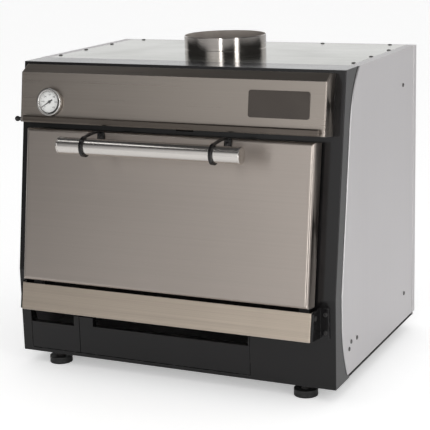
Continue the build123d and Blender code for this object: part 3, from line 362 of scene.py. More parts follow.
@dataclass(frozen=True)
class BrushedSheet(Finish):
    """Stainless sheet with a brushed grain, faint smears and lighter edges that are rubbed wear and a
    painted highlight.

    With anisotropy, highlights follow a tangent that runs round the axis and is turned by across.
    """

    tone: Colour
    shade: Colour
    roughness: float
    spread: float
    anisotropy: float
    smear: float
    direction: Direction = Direction.SIDEWAYS
    relief: float = 0.06
    across: float = 0.0
    axis: str = "X"
    # Lighter edge colour: rubbed wear and a painted highlight along folds and edges.
    edge: Colour = (0.80, 0.79, 0.78)
    edge_width: float = 1.2 * MM
    edge_break: float = 60.0
    streak_swing: float = 0.03
    groove: float = 0.06 * MM

    def paint(self, bench: Bench, effects: Effects) -> None:
        """Adds the finish's nodes.

        Args:
            bench: The material.
            effects: The shared effects.
        """
        streaks = bench.effect(effects.grain, {"Stretch": self.direction.value}).outputs["Streaks"]
        smears = bench.effect(effects.cloud, {"Scale": self.smear}).outputs["Mask"]
        wear_and_highlight = bench.effect(effects.wear_and_highlight, {"Width": self.edge_width, "Break": self.edge_break})
        colour = bench.tint(streaks, self.shade, self.tone)
        smeared = bench.blend(smears, self.roughness, self.roughness + self.spread)
        swing = bench.blend(streaks, -self.streak_swing, self.streak_swing)
        # The edge mask mixes in the lighter edge colour, which paints a highlight as well as rubbed wear.
        bench.shade({
            "Base Color": bench.tint(wear_and_highlight.outputs["Mask"], colour, self.edge),
            "Metallic": 1.0,
            "Roughness": math_node(bench.tree, "ADD", smeared, swing),
            "Anisotropic": self.anisotropy,
            "Anisotropic Rotation": self.across,
        })
        if self.anisotropy:
            tangent = add_node(bench.tree, "ShaderNodeTangent", direction_type="RADIAL", axis=self.axis)
            bench.shade({"Tangent": tangent.outputs[0]})
        bench.bump(streaks, self.relief, self.groove, wear_and_highlight)


@dataclass(frozen=True)
class SatinPaint(Finish):
    """Paint over folded sheet, with a fine skin, faint wipe marks and rubbed edges."""

    colour: Colour
    faded: Colour
    roughness: float
    skin: float = 1400.0
    coat: float = 0.0
    rubbed: Colour = (0.12, 0.115, 0.115)
    gloss: float = 0.25
    spread: float = 0.08
    coat_roughness: float = 0.06
    wipes: float = 5.0
    edge_width: float = 1.2 * MM
    edge_break: float = 90.0
    relief: float = 0.12
    skin_depth: float = 0.08 * MM

    def paint(self, bench: Bench, effects: Effects) -> None:
        """Adds the finish's nodes.

        Args:
            bench: The material.
            effects: The shared effects.
        """
        wiped = bench.effect(effects.cloud, {"Scale": self.wipes}).outputs["Mask"]
        skin = bench.effect(effects.speckle, {"Scale": self.skin}).outputs["Height"]
        wear_and_highlight = bench.effect(effects.wear_and_highlight, {"Width": self.edge_width, "Break": self.edge_break})
        colour = bench.tint(wiped, self.colour, self.faded)
        bench.shade({
            "Base Color": bench.tint(wear_and_highlight.outputs["Mask"], colour, self.rubbed),
            "Metallic": 0.0,
            "Roughness": bench.blend(wiped, self.roughness, self.roughness + self.spread),
            "Coat Weight": self.coat,
            "Coat Roughness": self.coat_roughness,
            "Specular IOR Level": self.gloss,
        })
        bench.bump(skin, self.relief, self.skin_depth, wear_and_highlight)


@dataclass(frozen=True)
class FireMetal(Finish):
    """Bare metal that heat and soot have darkened in patches."""

    clean: Colour
    burnt: Colour
    roughness: float
    metallic: float
    pits: float = 350.0
    depth: float = 0.2 * MM
    pit_detail: float = 4.0
    soot_scale: float = 7.0
    soot_low: float = 0.3
    soot_high: float = 0.65
    spread: float = 0.2
    edge_width: float = 1.0 * MM
    relief: float = 0.4

    def paint(self, bench: Bench, effects: Effects) -> None:
        """Adds the finish's nodes.

        Args:
            bench: The material.
            effects: The shared effects.
        """
        patches = {"Scale": self.soot_scale, "Low": self.soot_low, "High": self.soot_high}
        soot = bench.effect(effects.cloud, patches).outputs["Mask"]
        pits = bench.effect(effects.speckle, {"Scale": self.pits, "Detail": self.pit_detail})
        wear_and_highlight = bench.effect(effects.wear_and_highlight, {"Width": self.edge_width})
        colour = bench.tint(soot, self.clean, self.burnt)
        bench.shade({
            "Base Color": bench.tint(wear_and_highlight.outputs["Mask"], colour, self.clean),
            "Metallic": self.metallic,
            "Roughness": bench.blend(soot, self.roughness, self.roughness + self.spread),
        })
        bench.bump(pits.outputs["Height"], self.relief, self.depth, wear_and_highlight)


@dataclass(frozen=True)
class Fibre(Finish):
    """Woven or felted heat-proof fibre."""

    light: Colour
    dark: Colour
    weave: float = 160.0
    distortion: float = 1.5
    fuzz: float = 700.0
    fuzz_detail: float = 4.0
    roughness: float = 0.95
    sheen: float = 0.15
    relief: float = 0.5
    depth: float = 0.6 * MM

    def paint(self, bench: Bench, effects: Effects) -> None:
        """Adds the finish's nodes.

        Args:
            bench: The material.
            effects: The shared effects.
        """
        place = object_place(bench.tree)
        pattern = {"Vector": place, "Scale": self.weave, "Distortion": self.distortion}
        wave = add_node(bench.tree, "ShaderNodeTexWave", pattern, bands_direction="DIAGONAL")
        bands = wave.outputs["Fac"]
        fuzz = bench.effect(effects.speckle, {"Scale": self.fuzz, "Detail": self.fuzz_detail})
        bench.shade({
            "Base Color": bench.tint(bands, self.dark, self.light),
            "Metallic": 0.0,
            "Roughness": self.roughness,
            "Sheen Weight": self.sheen,
        })
        height = math_node(bench.tree, "ADD", bands, fuzz.outputs["Height"])
        bench.bump(height, self.relief, self.depth)


@dataclass(frozen=True)
class Enamel(Finish):
    """A smooth light face with a very faint mottle."""

    colour: Colour
    mottle: Colour
    mottle_scale: float = 90.0
    skin: float = 2500.0
    roughness: float = 0.35
    spread: float = 0.06
    relief: float = 0.05
    depth: float = 0.02 * MM

    def paint(self, bench: Bench, effects: Effects) -> None:
        """Adds the finish's nodes.

        Args:
            bench: The material.
            effects: The shared effects.
        """
        mottled = bench.effect(effects.cloud, {"Scale": self.mottle_scale}).outputs["Mask"]
        skin = bench.effect(effects.speckle, {"Scale": self.skin}).outputs["Height"]
        bench.shade({
            "Base Color": bench.tint(mottled, self.colour, self.mottle),
            "Roughness": bench.blend(mottled, self.roughness, self.roughness + self.spread),
        })
        bench.bump(skin, self.relief, self.depth)


@dataclass(frozen=True)
class ClearGlass(Finish):
    """The flat glass over the dial, which lets shadow rays and diffuse rays straight through."""

    tint: Colour = (0.98, 0.99, 0.99)
    refraction: float = 1.45
    smears: float = 40.0
    clean: float = 0.01
    smeared: float = 0.05

    def paint(self, bench: Bench, effects: Effects) -> None:
        """Adds the finish's nodes.

        Args:
            bench: The material.
            effects: The shared effects.
        """
        smears = bench.effect(effects.cloud, {"Scale": self.smears}).outputs["Mask"]
        bench.shade({
            "Base Color": (*self.tint, 1.0),
            "Metallic": 0.0,
            "Roughness": bench.blend(smears, self.clean, self.smeared),
            "IOR": self.refraction,
            "Transmission Weight": 1.0,
        })
        path = add_node(bench.tree, "ShaderNodeLightPath").outputs
        passing = math_node(bench.tree, "MAXIMUM", path["Is Shadow Ray"], path["Is Diffuse Ray"])
        glass = bench.shader.outputs[0]
        clear = add_node(bench.tree, "ShaderNodeBsdfTransparent").outputs[0]
        mix_surface(bench.tree, "Material Output", passing, glass, clear)


FINISHES: tuple[Finish, ...] = (
    SatinPaint(
        "black_paint", (0.0050, 0.0048, 0.0050), (0.0075, 0.0066, 0.0070), roughness=0.18, coat=0.25
    ),
    BrushedSheet(
        "grey_steel", (0.770, 0.750, 0.757), (0.740, 0.720, 0.727), direction=Direction.UPRIGHT,
        roughness=0.46, spread=0.06, anisotropy=0.0, smear=2.5, relief=0.03,
    ),
    BrushedSheet(
        "polished_top", (0.33, 0.334, 0.305), (0.31, 0.314, 0.287),
        roughness=0.16, spread=0.08, anisotropy=0.0, smear=3.0, relief=0.03,
    ),
    BrushedSheet(
        "brushed_steel", (0.495, 0.440, 0.399), (0.460, 0.408, 0.369),
        roughness=0.30, spread=0.04, anisotropy=0.9, smear=3.0, relief=0.04,
    ),
    BrushedSheet(
        "fascia_steel", (0.425, 0.377, 0.336), (0.392, 0.347, 0.308),
        roughness=0.28, spread=0.04, anisotropy=0.9, smear=3.0, relief=0.04,
    ),
    # Darker steel for the lip: painted shade that stands for the darker reflection of its downward face.
    BrushedSheet(
        "lip_steel_painted_shade", (0.185, 0.160, 0.138), (0.13, 0.11, 0.095),
        roughness=0.34, spread=0.06, anisotropy=0.8, smear=9.0, edge=(0.34, 0.31, 0.28),
    ),
    BrushedSheet(
        "warm_steel", (0.64, 0.555, 0.465), (0.50, 0.425, 0.350),
        roughness=0.34, spread=0.06, anisotropy=0.8, smear=6.0,
    ),
    BrushedSheet(
        "polished_steel", (0.62, 0.60, 0.58), (0.58, 0.56, 0.54),
        roughness=0.14, spread=0.04, anisotropy=0.0, smear=9.0, relief=0.02,
    ),
    BrushedSheet(
        "flue_steel", (0.45, 0.420, 0.394), (0.40, 0.372, 0.349),
        roughness=0.13, spread=0.04, anisotropy=0.4, smear=9.0, relief=0.03,
        across=0.25, axis="Z",
    ),
    BrushedSheet(
        "handle_steel", (0.80, 0.765, 0.73), (0.72, 0.685, 0.65),
        roughness=0.18, spread=0.05, anisotropy=0.3, smear=12.0, relief=0.03,
    ),
    BrushedSheet(
        "plain_steel", (0.46, 0.46, 0.46), (0.38, 0.38, 0.38), direction=Direction.BACKWARDS,
        roughness=0.40, spread=0.1, anisotropy=0.2, smear=8.0,
    ),
    BrushedSheet(
        "zinc_screws", (0.20, 0.195, 0.19), (0.13, 0.125, 0.12),
        roughness=0.35, spread=0.1, anisotropy=0.0, smear=60.0, edge=(0.3, 0.3, 0.3),
    ),
    FireMetal("grid_steel", (0.46, 0.44, 0.42), (0.16, 0.14, 0.12), roughness=0.45, metallic=0.9),
    FireMetal("flue_inside", (0.52, 0.47, 0.43), (0.30, 0.26, 0.23), roughness=0.5, metallic=0.2),
    FireMetal("fire_steel", (0.26, 0.24, 0.22), (0.06, 0.055, 0.05), roughness=0.55, metallic=0.75),
    FireMetal(
        "cast_iron", (0.10, 0.10, 0.10), (0.045, 0.043, 0.04),
        roughness=0.7, metallic=0.5, pits=220.0, depth=0.6 * MM,
    ),
    SatinPaint(
        "dark_steel", (0.020, 0.019, 0.019), (0.035, 0.033, 0.032),
        roughness=0.34, skin=1800.0, rubbed=(0.12, 0.12, 0.12),
    ),
    SatinPaint(
        "dark_plate", (0.052, 0.043, 0.037), (0.066, 0.056, 0.048),
        roughness=0.34, skin=2200.0, rubbed=(0.20, 0.18, 0.16),
    ),
    SatinPaint(
        "black_needle", (0.015, 0.015, 0.015), (0.025, 0.025, 0.025), roughness=0.4, skin=3000.0
    ),
    SatinPaint(
        "black_plastic", (0.010, 0.010, 0.010), (0.018, 0.018, 0.018),
        roughness=0.30, skin=1800.0, rubbed=(0.05, 0.05, 0.05), gloss=0.4,
    ),
    Enamel("white_enamel", (0.88, 0.87, 0.85), (0.82, 0.81, 0.79)),
    ClearGlass("dial_glass"),
    Fibre("fibre_blanket", (0.84, 0.82, 0.76), (0.70, 0.68, 0.62)),
    Fibre("rope_gasket", (0.20, 0.19, 0.18), (0.07, 0.065, 0.06), weave=320.0),
)
# The fascia panel has its own steel; the lip has the darker steel, whose colour paints in shade.
OWN_FINISHES = {"fascia_panel": "fascia_steel", "fascia_lip": "lip_steel_painted_shade"}


class Wardrobe:
    """Builds each finish once and dresses objects with it."""

    def __init__(self) -> None:
        """Builds all finishes."""
        effects = Effects()
        self.materials = {finish.name: finish.build(effects) for finish in FINISHES}

    def dress(self, piece: Object, finish: str) -> None:
        """Gives an object a finish.

        Args:
            piece: The object.
            finish: Name of the finish.
        """
        piece.data.materials.clear()
        piece.data.materials.append(self.materials[finish])

    def dress_frame(self) -> None:
        """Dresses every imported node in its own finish, or else in the one of its slot."""
        for entry in frame["record"]["subparts"]:
            node, slot = entry["node"], entry["material_slot"]
            finish = OWN_FINISHES.get(node, slot)
            self.dress(frame["nodes"][node], finish)
            LOG.info("dressed %s in %s", node, finish)


# Meshes


def new_object(name: str, shape: Mesh) -> Object:
    """Turns a bmesh into an object of the scene.

    Args:
        name: Name of the object.
        shape: The mesh, which is freed.

    Returns:
        The object.
    """
    mesh = bpy.data.meshes.new(name)
    shape.to_mesh(mesh)
    shape.free()
    made = bpy.data.objects.new(name, mesh)
    bpy.context.scene.collection.objects.link(made)
    return made


def mesh_piece(name: str, shape: Mesh, body: str) -> Object:
    """Turns a bmesh into a piece that rides on a body.

    Args:
        name: Name of the piece.
        shape: The mesh, which is freed.
        body: The body that it moves with.

    Returns:
        The piece.
    """
    bmesh.ops.remove_doubles(shape, verts=shape.verts, dist=MERGE)
    bmesh.ops.recalc_face_normals(shape, faces=shape.faces)
    piece = new_object(name, shape)
    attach(piece, body)
    LOG.info("built %s", name)
    return piece


def front_matrix(node: str, rise: float) -> Matrix:
    """Finds a plane that leans with the front.

    Args:
        node: The CAD node that it passes.
        rise: Distance from the node's middle outwards to the plane.

    Returns:
        The matrix that takes a drawing on the X-Y plane to that plane.
    """
    low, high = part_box(node)
    turn = Matrix((Vector((1, 0, 0)), UP_THE_FRONT, OUTWARDS)).transposed().to_4x4()
    return Matrix.Translation((low + high) / 2 + OUTWARDS * rise) @ turn


def axis_matrix(foot: Vector, axis: Vector) -> Matrix:
    """Finds the matrix that takes a form round Z to an axis that starts at foot."""
    return Matrix.Translation(foot) @ axis.to_track_quat("Z", "Y").to_matrix().to_4x4()


def island_middles(node: str) -> list[Vector]:
    """Finds the middle of each separate solid of a node.

    Args:
        node: The CAD node.

    Returns:
        The middles.
    """
    shape = bmesh.new()
    shape.from_mesh(frame["nodes"][node].data)
    bmesh.ops.remove_doubles(shape, verts=shape.verts, dist=MERGE)
    waiting, found = dict.fromkeys(shape.verts), []
    while waiting:
        island, reached = [], [waiting.popitem()[0]]
        while reached:
            vertex = reached.pop()
            island.append(vertex.co.copy())
            for link in vertex.link_edges:
                other = link.other_vert(vertex)
                if other in waiting:
                    del waiting[other]
                    reached.append(other)
        low = Vector([min(point[axis] for point in island) for axis in range(3)])
        high = Vector([max(point[axis] for point in island) for axis in range(3)])
        found.append((low + high) / 2)
    shape.free()
    return found


def turns(sides: int, shift: float = 0.0) -> list[float]:
    """Lists evenly spaced angles round an axis, from shift steps onwards."""
    return [math.tau * (step + shift) / sides for step in range(sides)]


def round_point(radius: float, angle: float, height: float) -> Vector:
    """Gives the point at a radius, an angle and a height round Z."""
    return Vector((radius * math.cos(angle), radius * math.sin(angle), height))


def bridge_rings(shape: Mesh, rings: list[list[bmesh.types.BMVert]], smooth: bool) -> None:
    """Joins each ring of vertices to the next one with faces.

    Args:
        shape: The mesh that gets the faces.
        rings: Rings of one length; a point is a ring of one repeated vertex.
        smooth: Whether the faces are shaded smooth.
    """
    for low, high in zip(rings, rings[1:]):
        for step in range(len(low)):
            after = (step + 1) % len(low)
            corners = dict.fromkeys([low[step], low[after], high[after], high[step]])
            if len(corners) > 2:
                shape.faces.new(list(corners)).smooth = smooth


def spin_profile(shape: Mesh, profile: Profile, sides: int, place: Matrix) -> None:
    """Adds a surface of revolution round Z.

    Args:
        shape: The mesh that gets it.
        profile: Points as (radius, height); a radius of 0 closes it in a point.
        sides: Number of steps round the axis.
        place: Where it goes.
    """
    rings = []
    for radius, height in profile:
        if radius > 0:
            spots = [round_point(radius, angle, height) for angle in turns(sides)]
            rings.append([shape.verts.new(place @ spot) for spot in spots])
        else:
            rings.append([shape.verts.new(place @ Vector((0, 0, height)))] * sides)
    bridge_rings(shape, rings, True)


def turned_piece(name: str, profile: Profile, sides: int, places: list[Matrix], body: str) -> Object:
    """Builds one piece from a profile that is turned at each place.

    Args:
        name: Name of the piece.
        profile: Points as (radius, height).
        sides: Number of steps round the axis.
        places: Where it goes.
        body: The body that it moves with.

    Returns:
        The piece.
    """
    shape = bmesh.new()
    for place in places:
        spin_profile(shape, profile, sides, place)
    return mesh_piece(name, shape, body)


def arc(middle: Pair, radius: float, first: float, last: float, steps: int) -> Profile:
    """Lists points of a profile on an arc round middle, from one angle in degrees to another."""
    angles = [math.radians(first + (last - first) * step / steps) for step in range(steps + 1)]
    return [(middle[0] + radius * math.cos(a), middle[1] + radius * math.sin(a)) for a in angles]


# Pieces


@dataclass(frozen=True)
class DialMarks:
    """The scale and the numbers on the thermometer's face."""

    ring: float = 24.6 * MM
    long_tick: float = 3.4 * MM
    long_width: float = 0.6 * MM
    short_tick: float = 1.8 * MM
    short_width: float = 0.3 * MM
    thickness: float = 0.06 * MM
    lift: float = 1.31 * MM
    steps: int = 30
    steps_a_number: int = 5
    count_a_number: int = 100
    number_size: float = 4.8 * MM
    number_ring: float = 17.5 * MM
    first_angle: float = math.radians(225)
    sweep: float = math.radians(270)

    def angle(self, step: int) -> float:
        """Gives the angle of a step of the scale."""
        return self.first_angle - self.sweep * step / self.steps

    def ticks(self) -> Mesh:
        """Draws the scale as thin raised bars.

        Returns:
            The bars, on the X-Y plane.
        """
        shape = bmesh.new()
        for step in range(self.steps + 1):
            major = step % self.steps_a_number == 0
            length = self.long_tick if major else self.short_tick
            width = self.long_width if major else self.short_width
            bar = bmesh.ops.create_cube(shape, size=1)["verts"]
            place = Matrix.Translation((self.ring - length / 2, 0, 0))
            stretch = Matrix.Diagonal((length, width, self.thickness, 1))
            turn = Matrix.Rotation(self.angle(step), 4, "Z")
            bmesh.ops.transform(shape, matrix=turn @ place @ stretch, verts=bar)
        return shape

    def numbers(self) -> Mesh:
        """Writes plain numbers inside the scale.

        Returns:
            The numbers, on the X-Y plane.
        """
        shape = bmesh.new()
        for step in range(0, self.steps + 1, self.steps_a_number):
            curve = bpy.data.curves.new("number", "FONT")
            curve.body = str(step // self.steps_a_number * self.count_a_number)
            curve.size = self.number_size
            curve.align_x = "CENTER"
            curve.align_y = "CENTER"
            curve.extrude = self.thickness / 2
            holder = bpy.data.objects.new("number", curve)
            mesh = bpy.data.meshes.new_from_object(holder)
            mesh.transform(Matrix.Translation(round_point(self.number_ring, self.angle(step), 0)))
            shape.from_mesh(mesh)
            bpy.data.objects.remove(holder)
            bpy.data.curves.remove(curve)
            bpy.data.meshes.remove(mesh)
        return shape

    def build(self, wardrobe: Wardrobe) -> None:
        """Builds the marks and lays them on the dial.

        Args:
            wardrobe: The finishes.
        """
        for name, shape in (("dial_scale", self.ticks()), ("dial_numbers", self.numbers())):
            shape.transform(front_matrix("thermometer_dial", self.lift))
            wardrobe.dress(mesh_piece(name, shape, "casing"), "black_needle")


@dataclass(frozen=True)
class DomeScrews:
    """Domed screw heads with a cross recess, one for each head of a CAD node.

    The spans are the rings of a head as shares of its radius, closest round the recess.
    """

    node: str
    axis: Point
    radius: float = 5.3 * MM
    height: float = 2.45 * MM
    rim: float = 0.5 * MM
    arm: float = 2.7 * MM
    half_width: float = 0.62 * MM
    depth: float = 1.1 * MM
    half_node: float = 1.3 * MM
    sides: int = 48
    spans: tuple[float, ...] = (0.12, 0.24, 0.36, 0.46, 0.50, 0.53, 0.66, 0.80, 0.90, 0.96, 1.0)

    def level(self, radius: float, angle: float) -> float:
        """Finds the height of the head at a place.

        Args:
            radius: Distance from the head's axis.
            angle: Angle round it.

        Returns:
            The height above the sheet.
        """
        across = (abs(radius * math.cos(angle)), abs(radius * math.sin(angle)))
        share = math.sqrt(max(0.0, 1 - (radius / self.radius) ** 2))
        dome = self.rim + (self.height - self.rim) * share
        inside = min(across) < self.half_width and max(across) < self.arm
        return dome - self.depth if inside else dome

    def head(self, shape: Mesh, place: Matrix) -> None:
        """Adds one head.

        Args:
            shape: The mesh that gets it.
            place: Where it goes.
        """
        angles = turns(self.sides, shift=0.5)
        rings = [[shape.verts.new(place @ Vector((0, 0, self.level(0, 0))))] * self.sides]
        for span in self.spans:
            radius = span * self.radius
            spots = [round_point(radius, angle, self.level(radius, angle)) for angle in angles]
            rings.append([shape.verts.new(place @ spot) for spot in spots])
        foot = [round_point(self.radius, angle, 0) for angle in angles]
        rings.append([shape.verts.new(place @ spot) for spot in foot])
        bridge_rings(shape, rings, False)

    def build(self, wardrobe: Wardrobe) -> None:
        """Builds the heads as one piece.

        Args:
            wardrobe: The finishes.
        """
        shape = bmesh.new()
        axis = Vector(self.axis)
        for spot in island_middles(self.node):
            outwards = axis if spot.dot(axis) > 0 else -axis
            self.head(shape, axis_matrix(spot - outwards * self.half_node, outwards))
        piece = mesh_piece(f"{self.node}_domed", shape, "casing")
        wardrobe.dress(piece, "zinc_screws")
        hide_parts(self.node)


@dataclass(frozen=True)
class Feet:
    """The four feet, straight pucks with a shallow band sunk into their sides."""

    radius: float = 28.7 * MM
    height: float = 17.4 * MM
    edge: float = 1.2 * MM
    waist: float = 28.1 * MM
    band_foot: float = 5.6 * MM
    band_head: float = 11.8 * MM
    slope: float = 0.5 * MM
    crease: float = 0.2 * MM
    support: float = 0.3 * MM
    sides: int = 64

    def profile(self) -> Profile:
        """Draws the profile of a foot.

        Returns:
            The points, from the middle of its face to the middle of its top.
        """
        inside = self.radius - self.edge
        reaches = (self.radius, self.radius, self.waist, self.waist)
        rises = (0, self.crease, self.crease + self.slope, 2 * self.crease + self.slope)
        sunk = list(zip(reaches, rises))
        points = [(0, 0)] + arc((inside, self.edge), self.edge, -90, 0, 4)
        points += [(reach, self.band_foot + rise) for reach, rise in sunk]
        points += [(reach, self.band_head - rise) for reach, rise in reversed(sunk)]
        points += arc((inside, self.height - self.edge), self.edge, 0, 90, 4)
        return points + [(inside - self.support, self.height), (0, self.height)]

    def build(self, wardrobe: Wardrobe) -> None:
        """Builds the feet as one piece.

        Args:
            wardrobe: The finishes.
        """
        places = [Matrix.Translation((spot.x, spot.y, 0)) for spot in island_middles("foot_pads")]
        piece = turned_piece("feet_turned", self.profile(), self.sides, places, "casing")
        wardrobe.dress(piece, "black_plastic")
        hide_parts("foot_pads")


@dataclass(frozen=True)
class BallKnob:
    """The ball knob at the end of the damper's rod, with its neck."""

    radius: float = 6.88 * MM
    inset: float = 0.02 * MM
    neck_radius: float = 4.9 * MM
    neck_edge: float = 0.4 * MM
    neck_start: float = 0.80
    sides: int = 48

    def profile(self, neck: float) -> Profile:
        """Draws the knob's profile.

        Args:
            neck: Distance from the ball's middle to the end of the neck.

        Returns:
            The points, from the ball's pole to the middle of the neck's end.
        """
        points = [(0, -self.radius)] + arc((0, 0), self.radius, -86, 50, 20)
        points += [(self.neck_radius, self.radius * self.neck_start)]
        points += [(self.neck_radius, neck - self.neck_edge), (self.neck_radius - self.neck_edge, neck)]
        return points + [(0, neck)]

    def build(self, wardrobe: Wardrobe) -> None:
        """Builds the knob.

        Args:
            wardrobe: The finishes.
        """
        low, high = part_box("damper_knob")
        middle = (low + high) / 2
        ball = Vector((low.x + self.radius + self.inset, middle.y, middle.z))
        place = axis_matrix(ball, Vector((1, 0, 0)))
        profile = self.profile(high.x - ball.x)
        piece = turned_piece("ball_knob", profile, self.sides, [place], "damper")
        wardrobe.dress(piece, "black_plastic")
        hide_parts("damper_knob")


@dataclass(frozen=True)
class Bezel:
    """The thermometer's cup, whose rolled rim laps over the glass in a stepped lip.

    The lip's points are (radius, height) in millimetres, from its foot to where the rim rolls over.
    """

    outside: float = 33.9 * MM
    bore: float = 31.2 * MM
    hole: float = 4.2 * MM
    base: float = 1.5 * MM
    roll: float = 2.5 * MM
    roll_height: float = 7.45 * MM
    half_node: float = 5.0 * MM
    sides: int = 128
    lip: tuple[Pair, ...] = (
        (31.2, 9.05), (25.6, 9.05), (25.6, 9.2), (26.9, 9.3), (27.3, 9.75), (28.0, 9.95), (30.4, 9.95)
    )

    def profile(self) -> Profile:
        """Draws the cup's closed profile.

        Returns:
            The points, round the section and back to the first.
        """
        points = [(self.bore, self.base)] + [(radius * MM, height * MM) for radius, height in self.lip]
        points += arc((self.outside - self.roll, self.roll_height), self.roll, 85, 0, 12)
        points += [(self.outside, 0), (self.hole, 0), (self.hole, self.base)]
        return points + [(self.bore, self.base)]

    def build(self, wardrobe: Wardrobe) -> None:
        """Builds the bezel.

        Args:
            wardrobe: The finishes.
        """
        place = front_matrix("thermometer_bezel", -self.half_node)
        piece = turned_piece("bezel_rolled", self.profile(), self.sides, [place], "casing")
        wardrobe.dress(piece, "polished_steel")
        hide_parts("thermometer_bezel")


@dataclass(frozen=True)
class Flue:
    """The flue collar with a rolled top edge, a seam round it and the flange at its foot."""

    inner: float = 100.85 * MM
    outer: float = 103.2 * MM
    rim: float = 1.2 * MM
    seam_drop: float = 33 * MM
    seam_depth: float = 0.7 * MM
    seam_floor: float = 0.5 * MM
    seam_mouth: float = 0.9 * MM
    support: float = 0.3 * MM
    flange: float = 117.8 * MM
    flange_foot: float = 7.1 * MM
    flange_head: float = 9.0 * MM
    lining: float = 101.0 * MM
    sides: int = 192

    def profile(self, tall: float) -> Profile:
        """Draws the collar's closed profile.

        Args:
            tall: Height of the collar.

        Returns:
            The points, up the inside, over the rim, down the outside and back to the first.
        """
        shoulder = tall - self.rim
        seam = tall - self.seam_drop
        mouth = self.seam_mouth
        sunk = self.outer - self.seam_depth
        points = [(self.inner, 0), (self.inner, shoulder - self.support)]
        points += arc((self.inner + self.rim, shoulder), self.rim, 180, 90, 6)
        points += arc((self.outer - self.rim, shoulder), self.rim, 90, 0, 6)
        points += [(self.outer, shoulder - self.support), (self.outer, seam + mouth + self.support)]
        points += [(self.outer, seam + mouth), (sunk, seam + self.seam_floor)]
        points += [(sunk, seam - self.seam_floor), (self.outer, seam - mouth)]
        points += [(self.outer, seam - mouth - self.support)]
        points += [(self.outer, self.flange_head + self.support), (self.outer, self.flange_head)]
        points += [(self.flange, self.flange_head), (self.flange, self.flange_foot)]
        return points + [(self.outer, self.flange_foot), (self.outer, 0), (self.inner, 0)]

    def build(self, wardrobe: Wardrobe) -> None:
        """Builds the collar, with a duller steel inside.

        Args:
            wardrobe: The finishes.
        """
        low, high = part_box("flue_collar")
        middle = (low + high) / 2
        place = Matrix.Translation((middle.x, middle.y, low.z))
        profile = self.profile(high.z - low.z)
        piece = turned_piece("flue_rolled", profile, self.sides, [place], "casing")
        wardrobe.dress(piece, "flue_steel")
        piece.data.materials.append(wardrobe.materials["flue_inside"])
        for face in piece.data.polygons:
            inside = (face.center.xy - middle.xy).length < self.lining
            face.material_index = 1 if inside else 0
        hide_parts("flue_collar")


# Studio


@dataclass(frozen=True)
class Lamp:
    """A soft rectangular lamp, with its size in metres and its power in watts."""

    name: str
    place: Point
    aim: Point
    size: Pair
    power: float

    def build(self) -> None:
        """Adds the lamp to the scene."""
        data = bpy.data.lights.new(self.name, "AREA")
        data.shape = "RECTANGLE"
        data.size, data.size_y = self.size
        data.energy = self.power
        lamp = bpy.data.objects.new(self.name, data)
        bpy.context.scene.collection.objects.link(lamp)
        lamp.location = self.place
        ahead = Vector(self.aim) - Vector(self.place)
        lamp.rotation_euler = ahead.to_track_quat("-Z", "Y").to_euler()


LAMPS = (
    Lamp("side_lamp", place=(2.7, -1.8, 1.3), aim=(0.3, 0, 0.7), size=(0.5, 2.5), power=26),
    Lamp("front_lamp", place=(0.76, -3.8, 1.35), aim=(0, 0, 0.8), size=(0.42, 2.5), power=22),
    Lamp("top_lamp", place=(1.2, -0.8, 3.4), aim=(0, 0, 0.7), size=(2.2, 2.2), power=6),
    Lamp("upper_lamp", place=(-1.74, -1.35, 3.4), aim=(-0.1, -0.4, 0.6), size=(1.1, 0.35), power=2.2),
)


